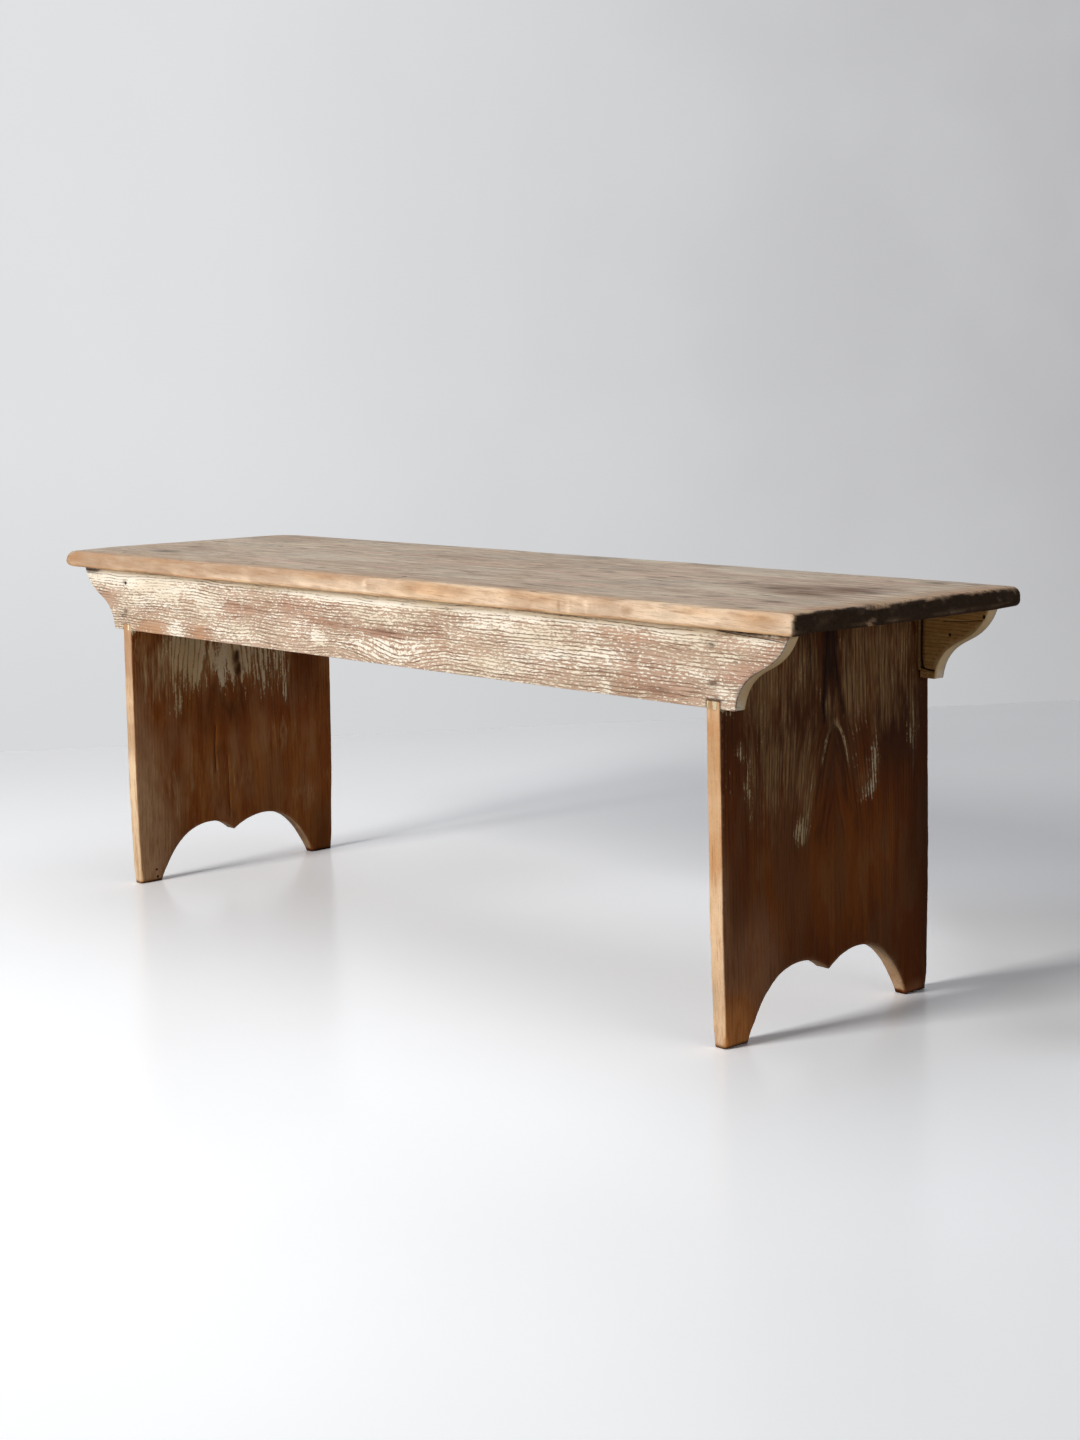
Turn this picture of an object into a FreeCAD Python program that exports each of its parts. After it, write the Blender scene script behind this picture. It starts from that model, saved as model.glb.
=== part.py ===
# Plank bench: a wide seat board on two upright leg boards, tied by a front and a back apron.
# Frame: X along the bench, Y from front to back, Z up. The origin is on the floor under the seat's middle.
# All sizes are in millimetres.
import FreeCAD, Part
import math
import os

# Seat board
overall_height = 457.0
seat_length = 1334.0
seat_width = 364.0
seat_thickness = 22.0
seat_top_round = 5.0
seat_bottom_round = 2.5
seat_corner_round = 5.0
seat_worn_corner_round = 12.0

# Aprons, one at the front and one at the back of the legs
frame_depth = 334.0
frame_shift_back = 3.8
apron_height = 83.5
apron_thickness = 16.5
apron_tip_length = 1290.0
apron_bottom_length = 1146.0

# The double curve at each end of an apron: a hollow below, a short straight slope, a round above.
# Each place is measured inwards from the tip, and up from the bottom edge.
ogee_slope_start_in = 45.0
ogee_slope_start_up = 40.0
ogee_slope_end_in = 31.0
ogee_slope_end_up = 47.0

# Leg boards
leg_thickness = 18.8
leg_outer_face = 552.5
leg_splay_degrees = 0.8
leg_shoulder_rise = 8.0
foot_taper_height = 125.0
foot_taper = 3.8

# The two arches between a leg's feet, measured from the board's middle and up from the floor.
# Each falls from its peak to a shoulder, and from there more steeply to the foot.
foot_inner_edge = 128.0
front_arch_peak = -48.0
rear_arch_peak = 46.0
arch_peak_height = 71.0
arch_shoulder_out = 49.0
arch_shoulder_height = 51.0
arch_point_height = 54.0
left_arch_point = -7.5
right_arch_point = -2.5

# Cut nails: an upright rectangular head, and a shank that tapers on two sides to a blunt point
nail_head_long = 7.0
nail_head_short = 4.2
nail_head_thickness = 1.6
nail_shank_wide = 4.4
nail_shank_narrow = 3.0
nail_point_wide = 2.0
nail_length = 44.0
nail_sink = 0.5
apron_nail_heights = (24.5, 63.5)
seat_leg_nail_spacing = 112.0
seat_leg_nail_count = 3
seat_apron_nail_first = 47.0
seat_apron_nail_spacing = 300.0
seat_apron_nail_steps = (-2, -1, 0, 1)
seat_apron_nail_shift = 55.0

# Places that follow from the sizes above
seat_underside = overall_height - seat_thickness
apron_bottom = seat_underside - apron_height
frame_front = frame_shift_back - frame_depth / 2
frame_back = frame_shift_back + frame_depth / 2
splay = math.tan(math.radians(leg_splay_degrees))


def vector(x, y, z):
    return FreeCAD.Vector(x, y, z)


def line(start, end):
    return Part.LineSegment(start, end).toShape()


def arc_leaving(start, direction, end):
    """Arc from start, where it runs along direction, to end."""
    chord = end - start
    normal = direction.cross(chord)
    towards_centre = normal.cross(direction).normalize()
    radius = chord.dot(chord) / (2 * chord.dot(towards_centre))
    centre = start + towards_centre * radius
    middle = (start + end) * 0.5 - centre
    through = centre + middle.normalize() * radius
    return Part.Arc(start, through, end).toShape()


def direction_after(start, direction, end):
    """Direction in which the arc that leaves start along direction arrives at end."""
    chord = (end - start).normalize()
    return chord * (2 * direction.dot(chord)) - direction


def board_from(edges, push):
    """Solid board: the closed outline of edges pushed along a vector."""
    outline = Part.Wire(Part.__sortEdges__(edges))
    return Part.Face(outline).extrude(push)


# Seat board
def plan_corner(x, y, radius):
    """Arc that rounds the plan's corner at x, y."""
    toward_middle_x = -math.copysign(radius, x)
    toward_middle_y = -math.copysign(radius, y)
    centre = vector(x + toward_middle_x, y + toward_middle_y, 0)
    on_diagonal = vector(-toward_middle_x, -toward_middle_y, 0) * math.sqrt(0.5)
    start = vector(x, y + toward_middle_y, 0)
    end = vector(x + toward_middle_x, y, 0)
    return Part.Arc(start, centre + on_diagonal, end).toShape()


def edges_at_height(solid, height):
    return [edge for edge in solid.Edges
            if abs(edge.BoundBox.ZMin - height) < 1e-6 and abs(edge.BoundBox.ZMax - height) < 1e-6]


def make_seat_board():
    half_length = seat_length / 2
    half_width = seat_width / 2
    worn = seat_worn_corner_round
    small = seat_corner_round
    edges = [
        plan_corner(-half_length, -half_width, worn),
        plan_corner(half_length, -half_width, small),
        plan_corner(half_length, half_width, small),
        plan_corner(-half_length, half_width, worn),
        line(vector(-half_length + worn, -half_width, 0), vector(half_length - small, -half_width, 0)),
        line(vector(half_length, -half_width + small, 0), vector(half_length, half_width - small, 0)),
        line(vector(half_length - small, half_width, 0), vector(-half_length + worn, half_width, 0)),
        line(vector(-half_length, half_width - worn, 0), vector(-half_length, -half_width + worn, 0)),
    ]
    board = board_from(edges, vector(0, 0, seat_thickness))
    board = board.makeFillet(seat_top_round, edges_at_height(board, seat_thickness))
    board = board.makeFillet(seat_bottom_round, edges_at_height(board, 0))
    board.translate(vector(0, 0, seat_underside))
    return board


# Leg boards
def arch_edges(peak_y, outwards, point_y):
    """Outline of one arch, from the point beside the board's middle over the peak to the foot."""
    point = vector(0, point_y, arch_point_height)
    peak = vector(0, peak_y, arch_peak_height)
    shoulder = vector(0, peak_y + outwards * arch_shoulder_out, arch_shoulder_height)
    foot = vector(0, outwards * foot_inner_edge, 0)
    to_foot = vector(0, outwards, 0)
    down_to_foot = direction_after(peak, to_foot, shoulder)
    return [
        arc_leaving(peak, to_foot * -1, point),
        arc_leaving(peak, to_foot, shoulder),
        arc_leaving(shoulder, down_to_foot, foot),
    ]


def leg_outline(point_y):
    """Edges of a leg board seen from its end, upright, with the frame's middle at y = 0."""
    half = frame_depth / 2
    inner = half - apron_thickness
    shoulder = apron_bottom + leg_shoulder_rise
    corners = [
        vector(0, -foot_inner_edge, 0),
        vector(0, -half + foot_taper, 0),
        vector(0, -half, foot_taper_height),
        vector(0, -half, shoulder),
        vector(0, -inner, shoulder),
        vector(0, -inner, seat_underside),
        vector(0, inner, seat_underside),
        vector(0, inner, shoulder),
        vector(0, half, shoulder),
        vector(0, half, foot_taper_height),
        vector(0, half - foot_taper, 0),
        vector(0, foot_inner_edge, 0),
    ]
    sides = [line(start, end) for start, end in zip(corners, corners[1:])]
    return sides + arch_edges(front_arch_peak, -1, point_y) + arch_edges(rear_arch_peak, 1, point_y)


def leg_outer_x(z):
    """Distance of a leg's outer face from the bench's middle, at height z."""
    return leg_outer_face + (apron_bottom - z) * splay


def make_leg(side, point_y):
    """Leg board on the left (side = -1) or right (side = 1), leaning outwards towards its feet."""
    foot_outer = leg_outer_x(0)
    top_outer = leg_outer_x(seat_underside)
    half = frame_depth / 2
    corners = [
        vector(side * foot_outer, -half, 0),
        vector(side * (foot_outer - leg_thickness), -half, 0),
        vector(side * (top_outer - leg_thickness), -half, seat_underside),
        vector(side * top_outer, -half, seat_underside),
        vector(side * foot_outer, -half, 0),
    ]
    sides = [line(start, end) for start, end in zip(corners, corners[1:])]
    leaning_slab = board_from(sides, vector(0, frame_depth, 0))
    shape_along_x = board_from(leg_outline(point_y), vector(side * 2 * foot_outer, 0, 0))
    board = leaning_slab.common(shape_along_x)
    board.translate(vector(0, frame_shift_back, 0))
    return board


# Aprons
def apron_end_edges(side):
    """The double curve at one end, from the bottom edge up to the tip, on the plane y = 0."""
    tip = apron_tip_length / 2
    bottom = vector(side * apron_bottom_length / 2, 0, apron_bottom)
    slope_start = vector(side * (tip - ogee_slope_start_in), 0, apron_bottom + ogee_slope_start_up)
    slope_end = vector(side * (tip - ogee_slope_end_in), 0, apron_bottom + ogee_slope_end_up)
    top = vector(side * tip, 0, seat_underside)
    along = slope_end - slope_start
    return [
        arc_leaving(slope_start, along * -1, bottom),
        line(slope_start, slope_end),
        arc_leaving(slope_end, along, top),
    ]


def make_apron(outer_y, inward, legs):
    """Apron board whose outer face is at outer_y, notched over the legs' shoulders."""
    half_top = apron_tip_length / 2
    half_bottom = apron_bottom_length / 2
    edges = apron_end_edges(-1) + apron_end_edges(1)
    edges.append(line(vector(-half_top, 0, seat_underside), vector(half_top, 0, seat_underside)))
    edges.append(line(vector(-half_bottom, 0, apron_bottom), vector(half_bottom, 0, apron_bottom)))
    board = board_from(edges, vector(0, inward * apron_thickness, 0))
    board.translate(vector(0, outer_y, 0))
    for leg in legs:
        board = board.cut(leg)
    return board


# Cut nails
def make_nail():
    """Nail with its head's outer face at z = 0, its head long along Y, pointing down -Z."""
    head = Part.makeBox(nail_head_short, nail_head_long, nail_head_thickness,
                        vector(-nail_head_short / 2, -nail_head_long / 2, -nail_head_thickness))
    x = -nail_shank_narrow / 2
    corners = [
        vector(x, -nail_shank_wide / 2, -nail_head_thickness),
        vector(x, nail_shank_wide / 2, -nail_head_thickness),
        vector(x, nail_point_wide / 2, -nail_length),
        vector(x, -nail_point_wide / 2, -nail_length),
        vector(x, -nail_shank_wide / 2, -nail_head_thickness),
    ]
    sides = [line(start, end) for start, end in zip(corners, corners[1:])]
    shank = board_from(sides, vector(nail_shank_narrow, 0, 0))
    return head.fuse(shank).removeSplitter()


def make_nail_hole():
    """The room that a sunk nail takes: the nail, and its head's outline up to the board's face."""
    above = Part.makeBox(nail_head_short, nail_head_long, nail_sink + nail_head_thickness,
                         vector(-nail_head_short / 2, -nail_head_long / 2, -nail_head_thickness))
    return make_nail().fuse(above).removeSplitter()


def apron_nail_places(side, face_y, into):
    """Nails through an apron into the middle of a leg's edge, one above the other."""
    places = []
    for height in apron_nail_heights:
        z = apron_bottom + height
        x = side * (leg_outer_x(z) - leg_thickness / 2)
        tilt = FreeCAD.Rotation(vector(1, 0, 0), 90 * into)
        start = vector(x, face_y + into * nail_sink, z)
        places.append(FreeCAD.Placement(start, tilt))
    return places


def seat_leg_nail_places(side):
    """Nails down through the seat into the middle of a leg's top edge."""
    x = side * (leg_outer_x(seat_underside) - leg_thickness / 2)
    middle = (seat_leg_nail_count - 1) / 2
    top = overall_height - nail_sink
    spots = [frame_shift_back + (i - middle) * seat_leg_nail_spacing for i in range(seat_leg_nail_count)]
    return [FreeCAD.Placement(vector(x, y, top), FreeCAD.Rotation()) for y in spots]


def seat_apron_nail_places(apron_middle_y, shift):
    """Nails down through the seat into an apron's top edge, heads long along the grain."""
    along_grain = FreeCAD.Rotation(vector(0, 0, 1), 90)
    top = overall_height - nail_sink
    spots = [seat_apron_nail_first + shift + i * seat_apron_nail_spacing for i in seat_apron_nail_steps]
    return [FreeCAD.Placement(vector(x, apron_middle_y, top), along_grain) for x in spots]


def placed(shape, places):
    """One compound of separate copies of shape."""
    copies = []
    for place in places:
        copy = shape.copy()
        copy.Placement = place
        copies.append(copy)
    return Part.makeCompound(copies)


def nail_groups():
    """Name of each group of nails, its places, and the boards that it goes through."""
    front_middle = frame_front + apron_thickness / 2
    back_middle = frame_back - apron_thickness / 2
    return {
        "front_apron_left_nails": (apron_nail_places(-1, frame_front, 1), ("front_apron", "left_leg")),
        "front_apron_right_nails": (apron_nail_places(1, frame_front, 1), ("front_apron", "right_leg")),
        "back_apron_left_nails": (apron_nail_places(-1, frame_back, -1), ("back_apron", "left_leg")),
        "back_apron_right_nails": (apron_nail_places(1, frame_back, -1), ("back_apron", "right_leg")),
        "seat_left_leg_nails": (seat_leg_nail_places(-1), ("seat_board", "left_leg")),
        "seat_right_leg_nails": (seat_leg_nail_places(1), ("seat_board", "right_leg")),
        "seat_front_apron_nails": (seat_apron_nail_places(front_middle, 0), ("seat_board", "front_apron")),
        "seat_back_apron_nails": (seat_apron_nail_places(back_middle, seat_apron_nail_shift),
                                  ("seat_board", "back_apron")),
    }


def make_bench():
    left_leg = make_leg(-1, left_arch_point)
    right_leg = make_leg(1, right_arch_point)
    nodes = {
        "seat_board": make_seat_board(),
        "left_leg": left_leg,
        "right_leg": right_leg,
        "front_apron": make_apron(frame_front, 1, (left_leg, right_leg)),
        "back_apron": make_apron(frame_back, -1, (left_leg, right_leg)),
    }
    nail = make_nail()
    hole = make_nail_hole()
    for name, (places, boards) in nail_groups().items():
        nodes[name] = placed(nail, places)
        holes = placed(hole, places)
        for board in boards:
            nodes[board] = nodes[board].cut(holes)
    return nodes


def main():
    os.makedirs("parts", exist_ok=True)
    for name, shape in make_bench().items():
        shape.exportStep("parts/" + name + ".step")
        box = shape.BoundBox
        print(name, len(shape.Solids), "solids, valid", shape.isValid(), "volume", round(shape.Volume),
              "z", round(box.ZMin, 2), round(box.ZMax, 2))


main()
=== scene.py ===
import math

import bmesh
import bpy
import numpy as np
from mathutils import Matrix, Vector, geometry, kdtree


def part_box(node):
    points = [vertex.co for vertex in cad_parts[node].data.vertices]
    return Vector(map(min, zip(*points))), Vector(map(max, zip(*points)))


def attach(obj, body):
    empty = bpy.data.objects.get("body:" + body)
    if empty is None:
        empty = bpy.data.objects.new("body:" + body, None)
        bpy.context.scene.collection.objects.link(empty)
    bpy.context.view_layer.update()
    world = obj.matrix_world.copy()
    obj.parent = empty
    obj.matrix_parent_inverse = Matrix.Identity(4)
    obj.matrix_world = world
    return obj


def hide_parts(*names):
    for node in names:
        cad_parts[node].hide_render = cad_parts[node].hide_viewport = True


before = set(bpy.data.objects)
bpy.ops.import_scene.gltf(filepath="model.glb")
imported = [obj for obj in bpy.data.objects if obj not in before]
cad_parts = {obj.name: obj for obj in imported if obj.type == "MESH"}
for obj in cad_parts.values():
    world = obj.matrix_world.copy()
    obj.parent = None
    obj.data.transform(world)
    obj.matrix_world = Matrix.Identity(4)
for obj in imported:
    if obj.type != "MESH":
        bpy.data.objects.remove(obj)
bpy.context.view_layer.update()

# Lengths here are in millimetres, as on the real bench. Meshes are written in metres.
MM = 0.001
BODY = "root"

# How finely the boards are meshed
OUTLINE_STEP = 3.0
COARSE_GRID = 8.0
PLAIN_GRID = 5.0
FINE_GRID = 3.5
FINEST_GRID = 3.0
WALL_ROWS = 4
ROUNDING_STEPS = (0.08, 0.3, 0.64, 1.0)
CORNER_TURN = math.radians(25.0)
CORNER_CUT = 1.2
SPLIT_STEP = 2.2
LEAST_ROUNDING = 0.4

# How far from its outline a board counts as edge
EDGE_WIDTH = 2.5

# How many lumps the noise has each way before it repeats
NOISE_WIDE = 61
NOISE_TALL = 67

# The seat's top, which its grain is measured from
SEAT_HEIGHT = 457.0

# The legs and aprons aren't worn above this height, right under the seat
HIDDEN_ABOVE = 433.0

# How far the nail heads are driven below the wood's unworn face
NAIL_SET = 0.9
NAIL_SIDES = 16
NAIL_DENT = 0.14

# The photograph's camera
CAMERA_PLACE = (2088.354, -1797.768, 687.57)
CAMERA_YAW = 0.8343
CAMERA_PITCH = -0.1524
CAMERA_ROLL = -0.0156
CAMERA_LENS = 56.64

# The wall's foot line behind the bench, on the floor
WALL_FOOT_LEFT = (-1693, 264)
WALL_FOOT_RIGHT = (-595, 2143)

# How far the floor and the wall reach. The wall's glow dims along WALL_FADE, in metres, as painted light
# falloff.
FLOOR_REACH = 9000.0
WALL_PAST_LEFT = 3000.0
WALL_PAST_RIGHT = 4500.0
WALL_HEIGHT = 3500.0
WALL_FADE = 2.6

# The strength of the room's even light
ROOM_LIGHT = 0.06

# Each lamp's name, place, target, width, height, power and colour
LAMPS = (
    ("window", (-450, -3900, 1700), (0, 0, 250), 1100, 2000, 168, (255, 252, 246)),
    ("ceiling", (-500, 300, 3300), (0, 0, 0), 3600, 2600, 25, (250, 251, 255)),
    ("right_fill", (3600, 200, 750), (600, 0, 250), 2400, 1300, 15, (252, 250, 250)),
    ("rear_fill", (-1500, 3200, 2000), (0, 0, 300), 2500, 2000, 8, (246, 249, 255)),
)

SEAT_NAILS = (
    "seat_left_leg_nails", "seat_right_leg_nails", "seat_front_apron_nails", "seat_back_apron_nails",
)
FRONT_NAILS = ("front_apron_left_nails", "front_apron_right_nails")
BACK_NAILS = ("back_apron_left_nails", "back_apron_right_nails")

# A value of paint so low that none shows
NO_PAINT = -2.0


def colour(*levels):
    """A colour of 0 to 255 as it looks on a screen, as Blender's linear colour."""
    linear = [((c / 255.0 + 0.055) / 1.055) ** 2.4 if c > 10 else c / 3294.6 for c in levels]
    return (*linear, 1.0)


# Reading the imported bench


def cad_faces(node):
    """The node's faces, each as its corners in millimetres and its normal."""
    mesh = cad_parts[node].data
    points = [tuple(round(c / MM, 3) for c in v.co) for v in mesh.vertices]
    return [([points[i] for i in face.vertices], face.normal.copy()) for face in mesh.polygons]


def cad_box(node):
    """The lowest and highest corner of a node."""
    return (np.array(corner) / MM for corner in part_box(node))


def flat_edge(node, facing):
    """The outer edge of the node's flat side that looks along facing, as an array of points."""
    border = set()
    for corners, normal in cad_faces(node):
        if normal.dot(Vector(facing)) < 0.999:
            continue
        for start, end in zip(corners, corners[1:] + corners[:1]):
            if (end, start) in border:
                border.remove((end, start))
            else:
                border.add((start, end))
    follows = dict(sorted(border))
    loops = []
    while follows:
        start = next(iter(follows))
        loop = [start]
        here = follows.pop(start)
        while here != start:
            loop.append(here)
            here = follows.pop(here)
        loops.append(np.array(loop))
    return max(loops, key=lambda points: np.ptp(points, axis=0).sum())


def islands(node):
    """The lowest and highest corner of each separate solid in a node."""
    group = {}

    def root(key):
        while group[key] != key:
            key = group[key]
        return key

    for corners, _ in cad_faces(node):
        for corner in corners:
            group.setdefault(corner, corner)
        for corner in corners[1:]:
            group[root(corner)] = root(corners[0])
    members = {}
    for key in group:
        members.setdefault(root(key), []).append(key)
    solids = [np.array(points) for points in members.values()]
    return [(points.min(axis=0), points.max(axis=0)) for points in solids]


# Noise and shapes that the boards' wear is made of


def unit(value):
    """The value, kept from 0 to 1."""
    return np.clip(value, 0.0, 1.0)


def eased(t):
    return t * t * (3.0 - 2.0 * t)


def ramp(value, low, high):
    """0 below low and 1 above high, smooth between."""
    return eased(unit((value - low) / (high - low)))


def lumps(u, v, size_u, size_v, seed):
    """Smooth noise from -1 to 1. Its lumps are size_u by size_v millimetres."""
    table = np.random.default_rng(seed).uniform(-1.0, 1.0, (NOISE_WIDE, NOISE_TALL))
    a = np.asarray(u, float) / size_u + 1000.0
    b = np.asarray(v, float) / size_v + 1000.0
    i = np.floor(a).astype(int)
    j = np.floor(b).astype(int)
    p = eased(a - i)
    q = eased(b - j)

    def row(number):
        number = number % NOISE_TALL
        return table[i % NOISE_WIDE, number] * (1 - p) + table[(i + 1) % NOISE_WIDE, number] * p

    return row(j) * (1 - q) + row(j + 1) * q


def rough(u, v, size_u, size_v, seed):
    """Three sizes of lumps added up."""
    layers = ((0, 0.6, 1.0), (1, 0.3, 2.3), (2, 0.15, 5.1))
    return sum(share * lumps(u, v, size_u / finer, size_v / finer, seed + n) for n, share, finer in layers)


def wave(u, v, base, amount, size_u, size_v, seed):
    return base + amount * rough(u, v, size_u, size_v, seed)


def bell(u, v, middle_u, middle_v, half_u, half_v):
    """1 at the middle of a patch, falling to 0 at its rim."""
    away = np.hypot((u - middle_u) / half_u, (v - middle_v) / half_v)
    return unit(1.0 - away) ** 2 * (1.0 + 2.0 * unit(away))


def patched(u, v, patches, base=0.0):
    """base with each patch added: (u, v, half width, half height, amount)."""
    total = np.full(np.shape(u), base, float)
    for *place, amount in patches:
        total = total + amount * bell(u, v, *place)
    return total


def off_line(points, line):
    """How far each point is from a run of straight pieces."""
    nearest = np.full(len(points), 1e9)
    for start, end in zip(np.array(line[:-1], float), np.array(line[1:], float)):
        along = end - start
        share = unit((points - start) @ along / (along @ along))
        nearest = np.minimum(nearest, np.linalg.norm(points - start - share[:, None] * along, axis=1))
    return nearest


class Mark:
    """A small fault on a board's side, in that side's own two directions."""

    dark = 1.0

    def strength(self, points):
        return self.dark * self.shape(points)

    def dip(self, points):
        return self.depth * self.shape(points)


class Split(Mark):
    """A crack along a line."""

    def __init__(self, width, depth, *line):
        self.line = np.array(line, float)
        self.width = width
        self.depth = depth

    def shape(self, points):
        return unit(1.0 - off_line(points, self.line) / self.width)

    def mesh_points(self):
        made = []
        for start, end in zip(self.line[:-1], self.line[1:]):
            length = np.linalg.norm(end - start)
            along = (end - start) / length
            across = np.array((-along[1], along[0]))
            for far in np.arange(0.0, length, SPLIT_STEP):
                for side in (-1.15, -0.5, 0.0, 0.5, 1.15):
                    made.append(start + along * far + across * side * self.width)
        return made


class Hollow(Mark):
    """A round dent, such as a nail's or a small hole."""

    def __init__(self, middle, radius, depth, dark=1.0):
        self.middle = np.array(middle, float)
        self.radius = radius
        self.depth = depth
        self.dark = dark

    def shape(self, points):
        return ramp(-np.linalg.norm(points - self.middle, axis=1) / self.radius, -1.0, -0.35)

    def mesh_points(self):
        made = [self.middle]
        for share in (0.35, 0.65, 1.0, 1.3):
            for turn in np.arange(0.0, 2 * math.pi, math.pi / 5):
                offset = np.array((math.cos(turn), math.sin(turn)))
                made.append(self.middle + offset * share * self.radius)
        return made


# The board mesh


def rounded_rectangle(low, high, left_round, right_round):
    """A rectangle's outline with its own corner radius at each end."""
    made = []
    for x, y, radius, first in ((high[0], high[1], right_round, 0), (low[0], high[1], left_round, 90),
                                (low[0], low[1], left_round, 180), (high[0], low[1], right_round, 270)):
        middle = np.array((x - math.copysign(radius, x), y - math.copysign(radius, y)))
        for turn in np.radians(first + np.linspace(0.0, 90.0, 7)):
            made.append(middle + radius * np.array((math.cos(turn), math.sin(turn))))
    return np.array(made)


def counterclockwise(loop):
    """The loop, turned round if it runs clockwise."""
    ahead = np.roll(loop, -1, axis=0)
    area = np.sum(loop[:, 0] * ahead[:, 1] - ahead[:, 0] * loop[:, 1])
    return loop if area > 0 else loop[::-1]


def run_lengths(line):
    """How far along the line each of its points is."""
    return np.concatenate(([0.0], np.cumsum(np.linalg.norm(np.diff(line, axis=0), axis=1))))


def spaced(loop):
    """The loop with evenly spaced points, smooth curves and slightly cut outward corners."""
    come = loop - np.roll(loop, 1, axis=0)
    go = np.roll(loop, -1, axis=0) - loop
    turn = np.arctan2(come[:, 0] * go[:, 1] - come[:, 1] * go[:, 0], np.sum(come * go, axis=1))
    corners = np.flatnonzero(np.abs(turn) > CORNER_TURN)
    if not len(corners):
        corners = np.array([0])
    following = np.roll(corners, -1)
    cut = np.where(turn > CORNER_TURN, CORNER_CUT, 0.0)
    runs = []
    for first, last in zip(corners, following):
        count = (last - first) % len(loop) or len(loop)
        run = loop[(first + np.arange(count + 1)) % len(loop)]
        lengths = run_lengths(run)
        pieces = max(2, round(lengths[-1] / OUTLINE_STEP))
        stops = np.linspace(cut[first], lengths[-1] - cut[last], pieces + 1)
        points = np.stack([np.interp(stops, lengths, run[:, axis]) for axis in (0, 1)], axis=1)
        for _ in range(3):
            points[1:-1] = 0.5 * points[1:-1] + 0.25 * (points[:-2] + points[2:])
        runs.append(points)
    made = []
    for points, ahead, last in zip(runs, runs[1:] + runs[:1], following):
        if cut[last]:
            made.extend(points)
            made.append(0.5 * loop[last] + 0.25 * (points[-1] + ahead[0]))
        else:
            made.extend(points[:-1])
    return np.array(made)


def inward(line):
    """The direction into the board at each point of its counterclockwise outline."""
    along = np.roll(line, -1, axis=0) - np.roll(line, 1, axis=0)
    along /= np.linalg.norm(along, axis=1)[:, None]
    return np.stack([-along[:, 1], along[:, 0]], axis=1)


def inside(points, line):
    """Which points lie inside the outline."""
    found = np.zeros(len(points), bool)
    for (ax, ay), (bx, by) in zip(line, np.roll(line, -1, axis=0)):
        if ay == by:
            continue
        crosses = (ay > points[:, 1]) != (by > points[:, 1])
        found ^= crosses & (points[:, 0] < (bx - ax) * (points[:, 1] - ay) / (by - ay) + ax)
    return found


def nearest_of(points, targets):
    """For each point, the number of its nearest target and how far that is."""
    tree = kdtree.KDTree(len(targets))
    for number, target in enumerate(targets):
        tree.insert((target[0], target[1], 0.0), number)
    tree.balance()
    found = [tree.find((p[0], p[1], 0.0)) for p in points]
    return np.array([f[1] for f in found], int), np.array([f[2] for f in found])


def edge_distance(points, line):
    """How far each point is from the outline, and the outline point nearest to it."""
    nearest, _ = nearest_of(points, line)
    away = np.full(len(points), 1e9)
    for step in (-1, 1):
        start = line[nearest]
        along = line[(nearest + step) % len(line)] - start
        share = unit(np.sum((points - start) * along, axis=1) / np.sum(along * along, axis=1))
        away = np.minimum(away, np.linalg.norm(points - start - share[:, None] * along, axis=1))
    return away, nearest


def side_mesh(line, into, radius, grid, marks, seed):
    """One flat side: its points, their rounding depth, its triangles and the distance to the edge."""
    points = [line]
    depths = [radius]
    for share in ROUNDING_STEPS:
        ring = line + into * (radius * share)[:, None]
        away, _ = edge_distance(ring, line)
        kept = away > 0.8 * radius * share
        points.append(ring[kept])
        depths.append((radius * (1.0 - math.sqrt(1.0 - (1.0 - share) ** 2)))[kept])
    random = np.random.default_rng(seed)
    low = line.min(axis=0)
    high = line.max(axis=0)
    wide, tall = np.meshgrid(np.arange(low[0], high[0], grid), np.arange(low[1], high[1], grid))
    middle = np.stack([wide.ravel(), tall.ravel()], axis=1)
    middle = middle + random.uniform(-0.18, 0.18, middle.shape) * grid
    special = np.array([p for mark in marks for p in mark.mesh_points()]).reshape(-1, 2)
    if len(special):
        middle = middle[nearest_of(middle, special)[1] > 0.5 * grid]
    for group, gap in ((special, 0.3), (middle, 0.5 * grid)):
        group = group[inside(group, line)]
        if len(group):
            away, nearest = edge_distance(group, line)
            group = group[away > radius[nearest] + gap]
            points.append(group)
            depths.append(np.zeros(len(group)))
    points = np.concatenate(points)
    depths = np.concatenate(depths)
    count = len(line)
    border = [(i, (i + 1) % count) for i in range(count)]
    found = geometry.delaunay_2d_cdt([Vector(p) for p in points], border, [], 1, 1e-4, True)
    places, _, triangles, sources = found[:4]
    number = {source: new for new, sources_of in enumerate(sources) for source in sources_of}
    points = np.array([tuple(p) for p in places])
    triangles = np.array(triangles)
    triangles = triangles[inside(points[triangles].mean(axis=1), line)]
    depths = np.array([depths[s[0]] if s else 0.0 for s in sources])
    rim = [number[i] for i in range(count)]
    return points, depths, triangles, rim, edge_distance(points, line)[0]


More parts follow.
